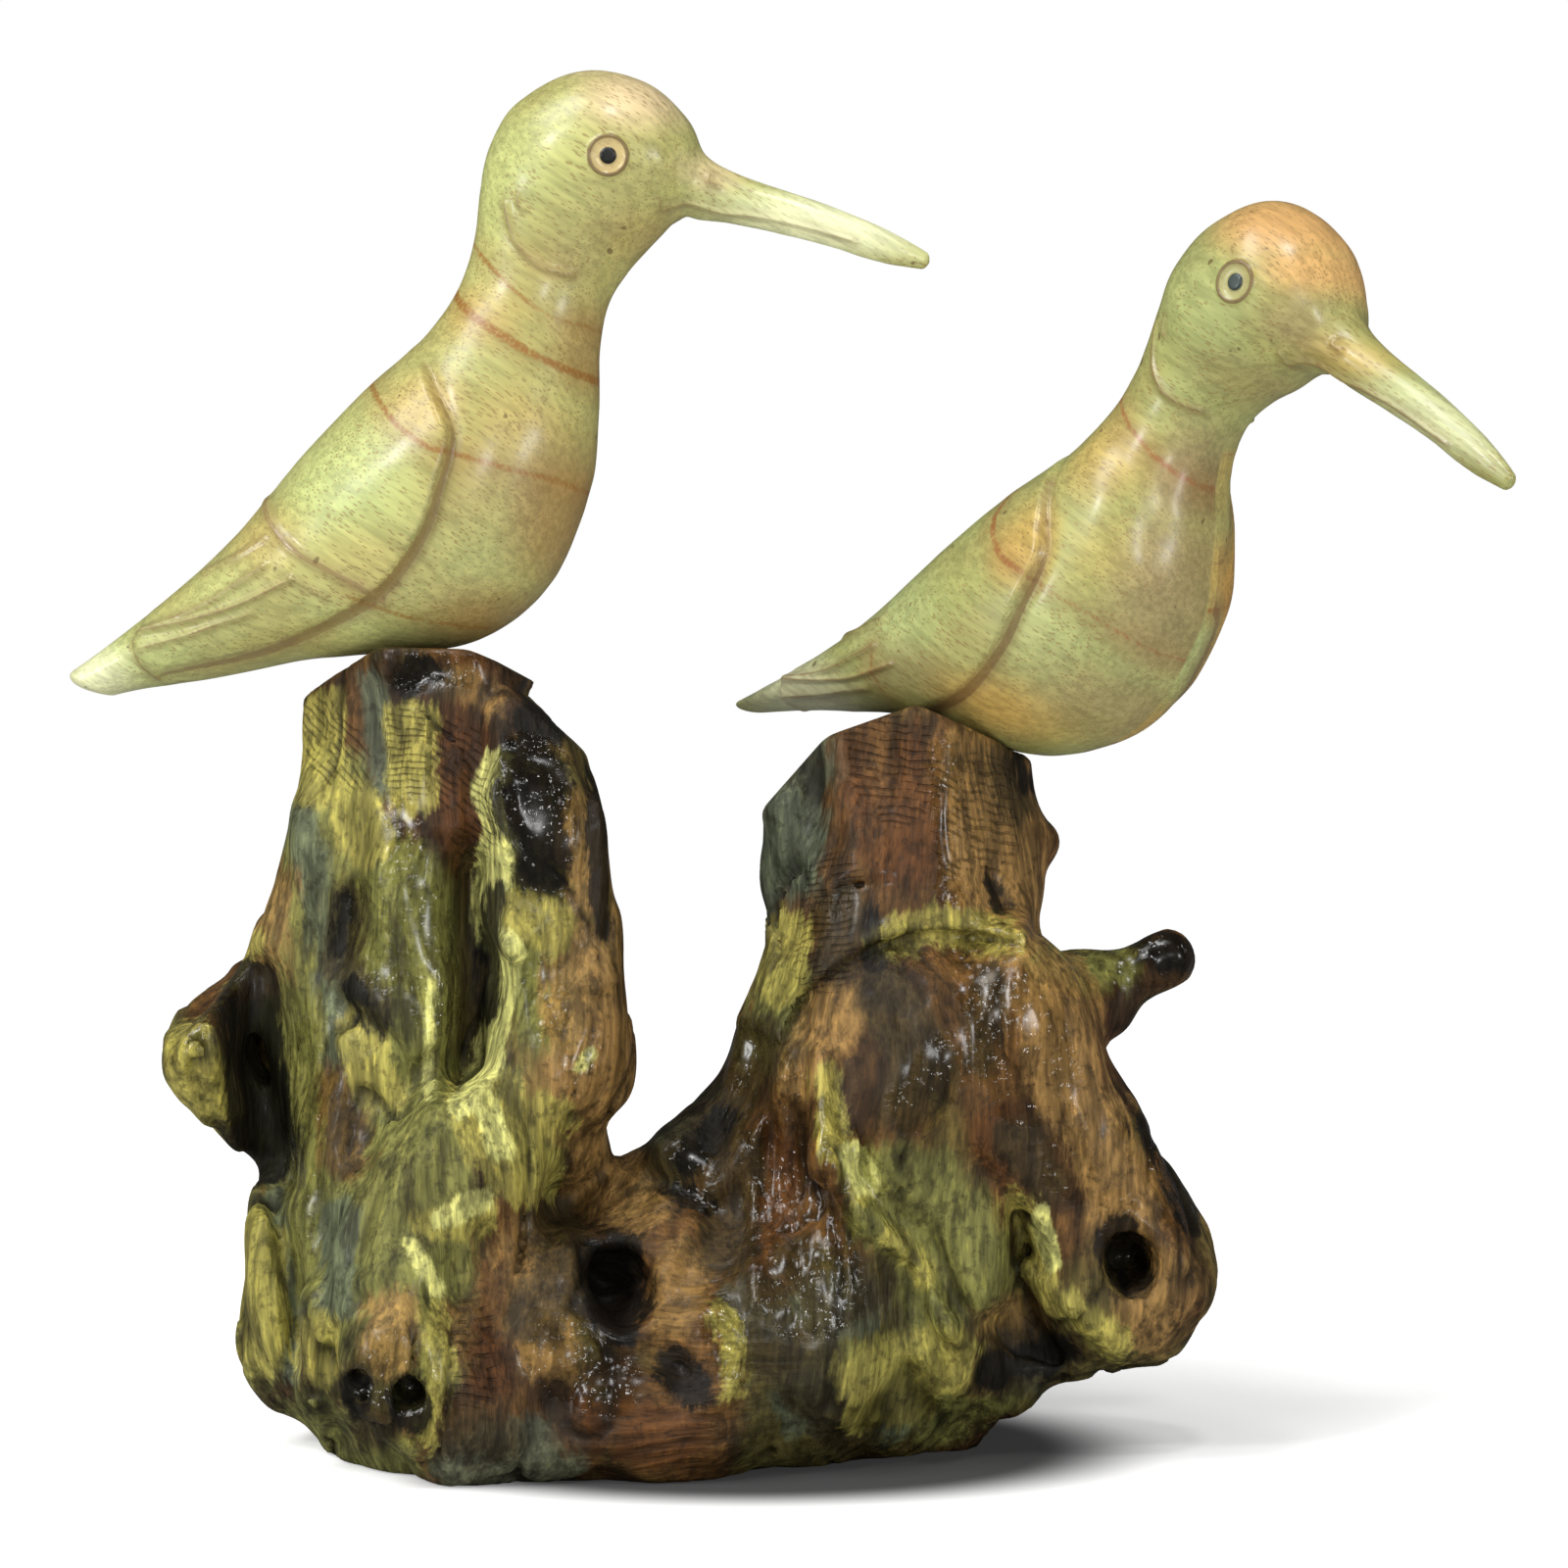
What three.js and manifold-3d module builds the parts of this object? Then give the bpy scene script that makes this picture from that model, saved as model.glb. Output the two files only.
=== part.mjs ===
// Two carved wooden shorebirds sitting on the sawn stubs of one varnished driftwood root.
// Millimetres, +Z up, the front on the -Y side. The origin is on the ground, under the middle of the group.

import * as THREE from "three";
import { mergeVertices } from "three/addons/utils/BufferGeometryUtils.js";
import Module from "manifold-3d";

const wasm = await Module();
wasm.setup();

// Where the middle of the whole group lies in the carver's own layout below
const GROUP_MIDDLE = { x: -6.03, y: -8.56 };

// The clearance between a bird and its seat
const SEAT_GAP = 0.3;

// The size of the root's facets, the space searched for it, the depth at which a filled corner counts,
// how softly its flats turn, and how uneven its wood is
const ROOT_CELL = 5.6;
const ROOT_LOW = [-110.7, -60.7, -30.7];
const ROOT_HIGH = [85, 75, 150];
const JUST_INSIDE = 0.2;
const FLAT_MELT = 1.5;
const BROAD_SWELL = 1.1;
const CLOSE_SWELL = 0.8;

// The block of ground that the root's underside is sawn flat on
const GROUND = { width: 300, depth: 100 };

// Facets of a bird: points around one section, and sections from tail to bill tip
const BIRD_SIDES = 16;
const BIRD_RINGS = 29;

// Sections of a bird, tail to bill tip, with the belly's lowest point at 0, 0:
// the back's x and z, the underside's x and z, and the half width
const BIRD_SECTIONS = [
  { name: "tail tip", back: [-58.4, -4.4], under: [-51.8, -7.4], half: 5.0 },
  { name: "tail", back: [-51.0, 0.5], under: [-46.0, -6.2], half: 7.0 },
  { name: "tail root", back: [-40.5, 8.4], under: [-35.5, -4.6], half: 9.6 },
  { name: "rump", back: [-30.0, 17.7], under: [-21.0, -1.8], half: 13.4 },
  { name: "loin", back: [-19.2, 30.3], under: [-6.0, -0.6], half: 16.4 },
  { name: "belly", back: [-10.4, 39.3], under: [7.5, 1.5], half: 17.6 },
  { name: "breast", back: [-3.0, 45.8], under: [18.2, 9.8], half: 17.0 },
  { name: "shoulder", back: [2.0, 51.3], under: [24.3, 24.2], half: 14.6 },
  { name: "low neck", back: [4.7, 55.8], under: [25.8, 36.3], half: 11.8 },
  { name: "neck", back: [6.2, 60.0], under: [25.8, 45.3], half: 10.2 },
  { name: "throat", back: [7.1, 64.1], under: [27.2, 52.8], half: 10.0 },
  { name: "nape", back: [7.7, 70.1], under: [30.0, 57.2], half: 11.0 },
  { name: "cheek", back: [9.2, 76.8], under: [33.0, 60.5], half: 12.4 },
  { name: "crown", back: [13.8, 83.6], under: [35.3, 62.9], half: 13.0 },
  { name: "eye", back: [23.5, 88.0], under: [37.0, 64.6], half: 12.6 },
  { name: "brow", back: [33.6, 85.9], under: [38.2, 65.4], half: 10.4 },
  { name: "forehead", back: [39.8, 80.0], under: [39.4, 65.7], half: 7.2 },
  { name: "bill root", back: [42.2, 75.0], under: [41.2, 65.2], half: 5.0 },
  { name: "bill", back: [47.5, 71.8], under: [46.0, 64.6], half: 3.6 },
  { name: "mid bill", back: [61.5, 67.0], under: [60.1, 61.1], half: 2.6 },
  { name: "fore bill", back: [71.4, 62.6], under: [69.8, 58.0], half: 2.0 },
  { name: "bill tip", back: [76.8, 59.2], under: [76.0, 57.0], half: 0.9 },
];

// What is different in the right bird: a slimmer head and neck, and a thinner, longer tail
const RIGHT_SECTIONS = BIRD_SECTIONS.map((section) => ({ ...section, ...{
  "tail tip": { back: [-59.0, -4.4], under: [-57.2, -5.9], half: 4.0 },
  "tail": { back: [-51.5, 0.2], under: [-49.0, -3.8], half: 7.0 },
  "tail root": { back: [-40.2, 8.0], under: [-36.8, -1.2], half: 9.6 },
  "rump": { back: [-29.6, 17.2], under: [-21.5, 1.0], half: 13.4 },
  "loin": { back: [-18.7, 29.8], under: [-6.0, -0.6], half: 16.4 },
  "belly": { back: [-9.9, 38.8], under: [7.5, 1.5], half: 17.6 },
  "breast": { back: [-2.5, 45.3], under: [18.8, 9.4], half: 17.0 },
  "shoulder": { back: [2.6, 50.9], under: [24.9, 24.2], half: 14.6 },
  "low neck": { back: [5.4, 55.5], under: [24.4, 36.8], half: 11.0 },
  "neck": { back: [7.0, 59.8], under: [23.2, 46.0], half: 9.2 },
  "throat": { back: [8.0, 64.0], under: [24.6, 54.0], half: 9.0 },
  "nape": { back: [8.6, 70.0], under: [28.2, 58.6], half: 9.8 },
  "cheek": { back: [10.0, 76.5], under: [32.4, 61.6], half: 11.1 },
  "crown": { back: [14.4, 83.1], under: [34.8, 63.8], half: 11.9 },
  "eye": { back: [23.5, 88.0], under: [36.8, 65.0], half: 11.5 },
  "brow": { back: [33.2, 85.5], under: [38.2, 65.4], half: 9.3 },
  "forehead": { back: [39.0, 79.6], under: [39.4, 65.7], half: 6.8 },
  "bill root": { back: [42.0, 75.0], under: [41.4, 65.8], half: 5.0 },
}[section.name] }));

// The folded wing stands this proud of the flank, inside this outline seen from the side.
// The outline runs from the shoulder down the leading edge and back to the wing tip.
const WING_PROUD = 1.8;
const WING_SINK = 0.5;
const WING_EDGE = [
  [1.4, 42], [4.6, 36], [6.4, 32], [6.3, 28.5], [5, 24], [2.6, 17], [-1.9, 10.6],
  [-6, 7.1], [-11.2, 4.3], [-18, 1.5], [-24.5, -0.6], [-33, -2.5], [-41.9, -4.2],
];
const WING_TIP = [[-43.6, -2.6], [-44.6, 0.6], [-43.8, 6]];

// Points clear above the back that close the wing's outline, and a width clear of both flanks
const OVER_THE_BACK = [[-45, 40], [-8, 56]];
const CLEAR_WIDTH = 60;

// Cuts in the wing, each a curve seen from the side: the covert line and the long feathers
const GROOVE_WIDTH = 0.9;
const WING_GROOVES = [
  [[-24, 21.6], [-22.6, 19.4], [-19.4, 15.8], [-15.9, 13], [-12, 11], [-7.6, 8.6]],
  [[-42.4, 2.7], [-33, 5.9], [-27.6, 8.8], [-22.3, 11.8]],
  [[-32.6, 11.2], [-28, 13.3], [-22.8, 16.1]],
  [[-42, -0.3], [-36, 1.5], [-30, 3.4], [-24.7, 4.8]],
];

// The cheek line behind the head, seen from the side
const CHEEK_LINE = [[13.2, 66.7], [13.8, 63.4], [15.6, 59.6], [18.6, 57.1], [22.2, 56.3]];

// The eye: where it is seen from the side, its carved ring and its drilled pupil
const EYE = { x: 29, z: 74, ring: 2.9, groove: 0.5, pupil: 1.3, depth: 0.5 };

// How each bird sits: its belly point, its turns about Z, Y and X,
// and its head's own turn and nod, in degrees
const LEFT_BIRD = {
  sections: BIRD_SECTIONS, seat: [-54, 2, 121.8], yaw: -6, pitch: 0, roll: 0, headTurn: 0, nod: 0,
};
const RIGHT_BIRD = {
  sections: RIGHT_SECTIONS, seat: [38.8, 0, 105.8], yaw: -39, pitch: 12.6, roll: 0, headTurn: -9, nod: 4.4,
};

// The neck, where the head's own turn and nod set in: its axis, its foot and head along the bird
const NECK = { x: 17, z: 60, from: 46, to: 72, lean: 0.35 };

// The root, as limbs that taper and melt into each other: end, radius, end, radius,
// depth along Y as a share of the width, and the length over which it melts in.
// A limb's flats are planes it is pared down to, each a point and the way it faces.
// Its ribs run along it: how many go round it, how deep they are, and their turn per millimetre up.
const LIMBS = [
  { name: "left stub", from: [-54.8, 5, 132], r0: 20.2, to: [-54.6, 5, 92], r1: 19.8, depth: 1.05, melt: 6,
    flats: [[[-62, -11.5, 100], [-0.7, -0.7, 0.05]], [[-55, -14.2, 100], [0.05, -1, 0.08]],
      [[-46, -12, 100], [0.55, -0.83, -0.05]]], ribs: [7, 0.5, 0.004] },
  { name: "left trunk", from: [-54, 5, 92], r0: 19, to: [-56, 5, 46], r1: 22.5, depth: 1.05, melt: 6,
    flats: [[[-56, -14.5, 90], [-0.1, -0.97, 0.2]], [[-74, -6, 70], [-0.9, -0.4, 0.15]]],
    ribs: [5, 0.9, -0.006] },
  { name: "left foot", from: [-56, 4, 34], r0: 23, to: [-51.5, 0, 14], r1: 23.8, depth: 1.15, melt: 8,
    ribs: [6, 1.0, 0.012] },
  { name: "bark slab top", from: [-37.5, -9, 108], r0: 7, to: [-35.6, -11, 94], r1: 10, depth: 1.1, melt: 2,
    flats: [[[-40, -17.5, 104], [-0.1, -0.97, 0.2]]] },
  { name: "bark slab", from: [-35.2, -11, 95], r0: 10.6, to: [-33.5, -11, 60], r1: 9.2, depth: 1.1, melt: 2,
    flats: [[[-35, -20.4, 80], [0.12, -0.99, 0.04]]] },
  { name: "ear top", from: [-75, 8, 75], r0: 5.4, to: [-89, 5, 60.8], r1: 6.2, depth: 2.1, melt: 4,
    flats: [[[-92.4, 4, 64.4], [-0.84, -0.35, 0.42]]] },
  { name: "ear lobe", from: [-89.5, 5, 59.5], r0: 7, to: [-82.5, 8, 49.5], r1: 5.8, depth: 2.1, melt: 4,
    flats: [[[-95.6, 6, 57.5], [-0.94, -0.2, -0.3]]] },
  { name: "ear ridge", from: [-71, 4, 90], r0: 4.5, to: [-77, 6, 77], r1: 4.8, depth: 1.6, melt: 4 },
  { name: "ear web", from: [-72, 15, 78], r0: 8, to: [-75, 15, 48], r1: 9, depth: 1, melt: 7 },
  { name: "slab foot", from: [-33.5, -12, 62], r0: 8.4, to: [-48, -22, 40], r1: 10.5, depth: 1, melt: 8,
    flats: [[[-36, -24, 44], [0.62, -0.7, -0.35]]] },
  { name: "slab heel", from: [-34.5, -8, 62], r0: 7.4, to: [-35, -5, 47], r1: 8, depth: 1.2, melt: 5 },
  { name: "front ridge", from: [-50, -22, 42], r0: 10, to: [-56.5, -30, 20], r1: 9.4, depth: 1, melt: 7,
    flats: [[[-48, -30, 26], [0.75, -0.6, -0.25]]] },
  { name: "front knob", from: [-57, -31, 20], r0: 8.6, to: [-55, -32, 14], r1: 8.2, depth: 1.05, melt: 2 },
  { name: "yellow lobe", from: [-69, -20, 22], r0: 5, to: [-66, -20, 12], r1: 6, depth: 1, melt: 3 },
  { name: "left lobe", from: [-69.5, 4, 33], r0: 13, to: [-70, 3, 18], r1: 13, depth: 1.2, melt: 4 },
  { name: "bridge", from: [-42, -6, 16], r0: 20, to: [2, -3, 18], r1: 20, depth: 1.35, melt: 8 },
  { name: "front toe", from: [-45, -25, 9], r0: 12, to: [-14, -21, 8], r1: 12, depth: 1, melt: 6 },
  { name: "saddle root", from: [4, 2, 54], r0: 9.2, to: [-22, 0, 31.6], r1: 10.6, depth: 1.4, melt: 5 },
  { name: "right stub", from: [15.8, 4, 126], r0: 20, to: [19, 4, 86], r1: 19.8, depth: 1.05, melt: 6,
    flats: [[[8, -13, 95], [-0.85, -0.5, 0.02]], [[16, -14.5, 95], [-0.06, -1, 0.16]],
      [[27, -13.5, 95], [0.66, -0.74, 0.1]]], ribs: [5, 0.5, 0] },
  { name: "stub shoulder", from: [1.2, 2, 97], r0: 4.6, to: [3.2, 2, 90], r1: 4.4, depth: 1.4, melt: 4 },
  { name: "right trunk", from: [19, 4, 86], r0: 18.6, to: [19.5, 3, 60], r1: 22.4, depth: 1.05, melt: 6,
    flats: [[[4, -12, 75], [-0.8, -0.6, 0.1]]], ribs: [7, 0.8, 0.008] },
  { name: "right body", from: [20, 2, 54], r0: 25, to: [15, 5, 20], r1: 25, depth: 1.15, melt: 8,
    flats: [[[6, -26, 40], [-0.5, -0.86, 0.1]], [[30, -26, 36], [0.25, -0.95, -0.25]]],
    ribs: [8, 1.0, -0.01] },
  { name: "shoulder lump", from: [20, -14, 67], r0: 10, to: [33, -14, 64], r1: 12, depth: 1, melt: 5,
    flats: [[[24, -25, 62], [-0.15, -0.98, 0.15]]] },
  { name: "lump crest", from: [33, -14, 66], r0: 10.5, to: [42, -12, 48], r1: 11.5, depth: 1, melt: 6 },
  { name: "horn root", from: [36, 2, 62], r0: 13.6, to: [45.5, 1, 68.5], r1: 7.4, depth: 1, melt: 7 },
  { name: "horn", from: [45.5, 1, 68.7], r0: 7, to: [59.2, 0, 74.4], r1: 2.7, depth: 1, melt: 3,
    flats: [[[50, -4, 72], [-0.1, -0.97, 0.25]]] },
  { name: "spur", from: [33, 6, 93], r0: 6.5, to: [40.4, 6, 92.2], r1: 1.4, depth: 1.5, melt: 4 },
  { name: "burl", from: [42, -6, 45], r0: 12.6, to: [50.9, -8, 27.8], r1: 14.8, depth: 1, melt: 5.5,
    flats: [[[46, -22.5, 34], [0.1, -0.99, 0.05]], [[60, -12, 38], [0.8, -0.4, 0.45]]] },
  { name: "burl heel", from: [35, -6, 14], r0: 7, to: [46, -8, 18.5], r1: 4.5, depth: 1, melt: 4 },
  { name: "upper vein", from: [6.5, -19, 62], r0: 2.8, to: [8.5, -27.5, 46], r1: 3, depth: 1, melt: 2.5 },
  { name: "lower vein", from: [8.5, -27.5, 46], r0: 3, to: [23, -25, 22], r1: 1.6, depth: 1, melt: 2.5 },
  { name: "back root", from: [-44, 18, 52], r0: 10, to: [-52, 30, 8], r1: 14, depth: 1, melt: 10,
    flats: [[[-48, 38, 30], [0.2, 0.96, 0.2]]] },
  { name: "back spur", from: [-60, 20, 70], r0: 5, to: [-68, 26, 20], r1: 9, depth: 1, melt: 8 },
  { name: "back bridge", from: [-30, 20, 12], r0: 14, to: [6, 24, 14], r1: 14, depth: 1.1, melt: 10 },
  { name: "back knee", from: [22, 14, 60], r0: 14, to: [26, 30, 12], r1: 14, depth: 1, melt: 10,
    flats: [[[24, 33, 40], [-0.15, 0.96, 0.3]]] },
  { name: "back limb", from: [6, 16, 46], r0: 8, to: [-4, 34, 14], r1: 9, depth: 1, melt: 8 },
];

// Hollows worn into the root, in the same terms
const HOLLOWS = [
  { name: "slab groove", from: [-48, -19, 92], r0: 3.6, to: [-46, -21, 60], r1: 4.2, depth: 1.7, melt: 3 },
  { name: "ear slit", from: [-81, -10, 72], r0: 3, to: [-79, -12, 44], r1: 3.6, depth: 4, melt: 3 },
  { name: "black hollow", from: [-65, -19, 80], r0: 4.5, to: [-62, -20.5, 66], r1: 4.6, depth: 1, melt: 2.5 },
  { name: "lobe crease", from: [-76.5, -14, 46], r0: 2, to: [-73, -17, 20], r1: 2, depth: 3, melt: 3 },
  { name: "bridge hole", from: [-24.5, -38, 32], r0: 5.6, to: [-25.5, -18, 27], r1: 5, depth: 1, melt: 3 },
  { name: "bridge hole foot", from: [-24.5, -36, 27], r0: 4, to: [-25, -22, 24], r1: 3.4, depth: 1, melt: 3 },
  { name: "saddle hollow", from: [-17, -29, 43], r0: 4, to: [-8, -27, 55], r1: 5, depth: 1, melt: 4 },
  { name: "flute", from: [-3, -37, 52], r0: 10, to: [3, -39, 30], r1: 10, depth: 1, melt: 4 },
  { name: "olive dish", from: [24, -46, 44], r0: 20, to: [22, -46, 30], r1: 20, depth: 1, melt: 3 },
  { name: "burl hole", from: [52, -28, 31.5], r0: 4.4, to: [50.5, -12, 30], r1: 3.8, depth: 1.6, melt: 2 },
  { name: "knob pit", from: [-60.8, -43, 15], r0: 2.4, to: [-60, -36, 15.5], r1: 2.2, depth: 1, melt: 1.5 },
  { name: "knob hole", from: [-52.8, -43, 14], r0: 2.8, to: [-53.5, -36, 14.5], r1: 2.4, depth: 1, melt: 1 },
];

// Saw and chisel cuts: a cube with one face on the cut, a point on that face, the way it faces
const CUTS = [
  { name: "left top", at: [-54, 4, 121.4], facing: [0.03, 0, 1], size: 60 },
  { name: "left top bevel", at: [-67, 4, 118.4], facing: [-0.48, 0, 0.88], size: 40 },
  { name: "left top fall", at: [-38, 4, 116.4], facing: [0.47, 0, 0.88], size: 34 },
  { name: "slab top fall", at: [-29.4, -12, 110], facing: [0.83, 0, 0.56], size: 24 },
  { name: "right top", at: [27, 4, 109.8], facing: [0.4, 0, 0.92], size: 60 },
  { name: "right top fall", at: [14, 4, 110.9], facing: [-0.33, 0, 0.94], size: 50 },
  { name: "right top bevel", at: [2.5, 4, 103.8], facing: [-0.75, 0, 0.66], size: 40 },
];

const MATERIALS = {
  bird: new THREE.MeshStandardMaterial({ color: 0xc9bd6a, roughness: 0.4, metalness: 0 }),
  otherBird: new THREE.MeshStandardMaterial({ color: 0xc2a85c, roughness: 0.4, metalness: 0 }),
  root: new THREE.MeshStandardMaterial({ color: 0x5a4220, roughness: 0.25, metalness: 0 }),
};

// Solids

function toSolid(geometry) {
  const bare = geometry.clone();
  for (const name of Object.keys(bare.attributes)) {
    if (name !== "position") bare.deleteAttribute(name);
  }
  const merged = mergeVertices(bare, 1e-4);
  const mesh = new wasm.Mesh({
    numProp: 3,
    vertProperties: new Float32Array(merged.attributes.position.array),
    triVerts: new Uint32Array(merged.index.array),
  });
  return new wasm.Manifold(mesh);
}

function toGeometry(solid) {
  const mesh = solid.getMesh();
  const geometry = new THREE.BufferGeometry();
  geometry.setAttribute("position", new THREE.BufferAttribute(new Float32Array(mesh.vertProperties), 3));
  geometry.setIndex(new THREE.BufferAttribute(new Uint32Array(mesh.triVerts), 1));
  geometry.computeVertexNormals();
  return geometry;
}

// A smooth curve through values placed along a line, for one coordinate at a time
function smoothThrough(places, values, place) {
  const last = places.length - 1;
  let k = 0;
  while (k < last - 1 && place > places[k + 1]) k += 1;
  const slope = (i) => {
    const a = Math.max(i - 1, 0);
    const b = Math.min(i + 1, last);
    return (values[b] - values[a]) / (places[b] - places[a]);
  };
  const span = places[k + 1] - places[k];
  const t = Math.min(Math.max((place - places[k]) / span, 0), 1);
  const t2 = t * t;
  const t3 = t2 * t;
  return (2 * t3 - 3 * t2 + 1) * values[k] + (t3 - 2 * t2 + t) * span * slope(k)
    + (3 * t2 - 2 * t3) * values[k + 1] + (t3 - t2) * span * slope(k + 1);
}

// Birds

// How far along the bird each section lies, by the middle of the section
function sectionPlaces(sections) {
  const places = [0];
  for (let i = 1; i < sections.length; i += 1) {
    const a = sections[i - 1];
    const b = sections[i];
    const dx = (b.back[0] + b.under[0] - a.back[0] - a.under[0]) / 2;
    const dz = (b.back[1] + b.under[1] - a.back[1] - a.under[1]) / 2;
    places.push(places[i - 1] + Math.hypot(dx, dz));
  }
  return places;
}

function sectionAt(sections, places, place) {
  const read = (pick) => smoothThrough(places, sections.map(pick), place);
  return {
    back: [read((s) => s.back[0]), read((s) => s.back[1])],
    under: [read((s) => s.under[0]), read((s) => s.under[1])],
    half: read((s) => s.half),
  };
}

// A skin of rings from tail to bill. It can be swollen all round, or at the sides alone.
function birdSkin(sections, swell, sideSwell) {
  const points = [];
  const places = sectionPlaces(sections);
  const total = places[places.length - 1];
  for (let i = 0; i <= BIRD_RINGS; i += 1) {
    const section = sectionAt(sections, places, (total * i) / BIRD_RINGS);
    const up = [section.back[0] - section.under[0], section.back[1] - section.under[1]];
    const height = Math.hypot(up[0], up[1]);
    const reach = (height / 2 + swell) / height;
    const middle = [(section.back[0] + section.under[0]) / 2, (section.back[1] + section.under[1]) / 2];
    for (let j = 0; j < BIRD_SIDES; j += 1) {
      const angle = (2 * Math.PI * j) / BIRD_SIDES;
      const rise = Math.cos(angle) * reach;
      const side = Math.sin(angle) * (section.half + swell + sideSwell);
      points.push(middle[0] + up[0] * rise, side, middle[1] + up[1] * rise);
    }
  }
  const ends = [0, BIRD_RINGS].map((ring) => {
    const centre = [0, 0, 0];
    for (let j = 0; j < BIRD_SIDES; j += 1) {
      for (let k = 0; k < 3; k += 1) centre[k] += points[3 * (ring * BIRD_SIDES + j) + k] / BIRD_SIDES;
    }
    return centre;
  });
  const tailEnd = points.length / 3;
  points.push(...ends[0], ...ends[1]);
  const faces = [];
  for (let i = 0; i < BIRD_RINGS; i += 1) {
    for (let j = 0; j < BIRD_SIDES; j += 1) {
      const next = (j + 1) % BIRD_SIDES;
      const a = i * BIRD_SIDES + j;
      const b = i * BIRD_SIDES + next;
      const c = (i + 1) * BIRD_SIDES + next;
      const d = (i + 1) * BIRD_SIDES + j;
      faces.push(a, d, c, a, c, b);
    }
  }
  for (let j = 0; j < BIRD_SIDES; j += 1) {
    const next = (j + 1) % BIRD_SIDES;
    const top = BIRD_RINGS * BIRD_SIDES;
    faces.push(tailEnd, j, next, tailEnd + 1, top + next, top + j);
  }
  const geometry = new THREE.BufferGeometry();
  geometry.setAttribute("position", new THREE.Float32BufferAttribute(points, 3));
  geometry.setIndex(faces);
  return geometry;
}

// The wing's outline pushed through the bird from side to side
function wingOutline() {
  const shape = new THREE.Shape();
  shape.moveTo(WING_EDGE[0][0], WING_EDGE[0][1]);
  shape.splineThru(WING_EDGE.slice(1).map(([x, z]) => new THREE.Vector2(x, z)));
  for (const [x, z] of [...WING_TIP, ...OVER_THE_BACK]) shape.lineTo(x, z);
  const through = { depth: CLEAR_WIDTH, bevelEnabled: false, curveSegments: 1 };
  const geometry = new THREE.ExtrudeGeometry(shape, through);
  geometry.translate(0, 0, -CLEAR_WIDTH / 2);
  geometry.rotateX(Math.PI / 2);
  return geometry;
}

// Points of a curve seen from the side, laid on the bird's skin
function layOnSkin(skin, points, side) {
  const ray = new THREE.Raycaster();
  return points.map(([x, z]) => {
    ray.set(new THREE.Vector3(x, side * CLEAR_WIDTH, z), new THREE.Vector3(0, -side, 0));
    return ray.intersectObject(skin)[0];
  });
}

// A V-shaped cut that follows a curve on the skin
function groove(skin, points, side) {
  const path = new THREE.CatmullRomCurve3(layOnSkin(skin, points, side).map((hit) => hit.point));
  const section = new THREE.Shape();
  section.moveTo(GROOVE_WIDTH, 0);
  section.lineTo(-GROOVE_WIDTH / 2, GROOVE_WIDTH);
  section.lineTo(-GROOVE_WIDTH / 2, -GROOVE_WIDTH);
  return new THREE.ExtrudeGeometry(section, { steps: points.length, extrudePath: path });
}

// The carved ring around the eye, and the drilled pupil
function eyeCuts(skin, side) {
  const [hit] = layOnSkin(skin, [[EYE.x, EYE.z]], side);
  const turn = new THREE.Quaternion().setFromUnitVectors(new THREE.Vector3(0, 0, 1), hit.face.normal);
  const ring = new THREE.TorusGeometry(EYE.ring, EYE.groove, 3, 11);
  const pupil = new THREE.CylinderGeometry(EYE.pupil, EYE.pupil, 2 * EYE.depth, 8);
  pupil.rotateX(Math.PI / 2);
  for (const cut of [ring, pupil]) {
    cut.applyQuaternion(turn);
    cut.translate(hit.point.x, hit.point.y, hit.point.z);
  }
  return [ring, pupil];
}

function carvedBird(sections) {
  const body = birdSkin(sections, 0, 0);
  const raised = birdSkin(sections, -WING_SINK, WING_PROUD + WING_SINK);
  const skin = new THREE.Mesh(raised, new THREE.MeshStandardMaterial({ side: THREE.DoubleSide }));
  const bodySkin = new THREE.Mesh(body, new THREE.MeshStandardMaterial({ side: THREE.DoubleSide }));
  const wings = toSolid(raised).intersect(toSolid(wingOutline()));
  let bird = toSolid(body).add(wings);
  for (const side of [-1, 1]) {
    const cuts = WING_GROOVES.map((points) => groove(skin, points, side));
    cuts.push(groove(bodySkin, CHEEK_LINE, side));
    cuts.push(...eyeCuts(bodySkin, side));
    for (const cut of cuts) bird = bird.subtract(toSolid(cut));
  }
  return toGeometry(bird);
}

// Turns and nods the head on the neck, the more the further a point is up the neck
function turnHead(geometry, turn, nod) {
  const position = geometry.attributes.position;
  const point = new THREE.Vector3();
  for (let i = 0; i < position.count; i += 1) {
    point.fromBufferAttribute(position, i);
    const share = THREE.MathUtils.smoothstep(point.z + NECK.lean * point.x, NECK.from, NECK.to);
    point.x -= NECK.x;
    point.z -= NECK.z;
    point.applyAxisAngle(new THREE.Vector3(0, 0, 1), THREE.MathUtils.degToRad(turn) * share);
    point.applyAxisAngle(new THREE.Vector3(0, 1, 0), THREE.MathUtils.degToRad(nod) * share);
    position.setXYZ(i, point.x + NECK.x, point.y, point.z + NECK.z);
  }
}

// Sets a bird on its seat
function seatBird(geometry, pose) {
  const placed = geometry.clone();
  turnHead(placed, pose.headTurn, pose.nod);
  placed.rotateY(THREE.MathUtils.degToRad(pose.pitch));
  placed.rotateX(THREE.MathUtils.degToRad(pose.roll));
  placed.rotateZ(THREE.MathUtils.degToRad(pose.yaw));
  placed.translate(...pose.seat);
  return placed;
}

// Root

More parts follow.
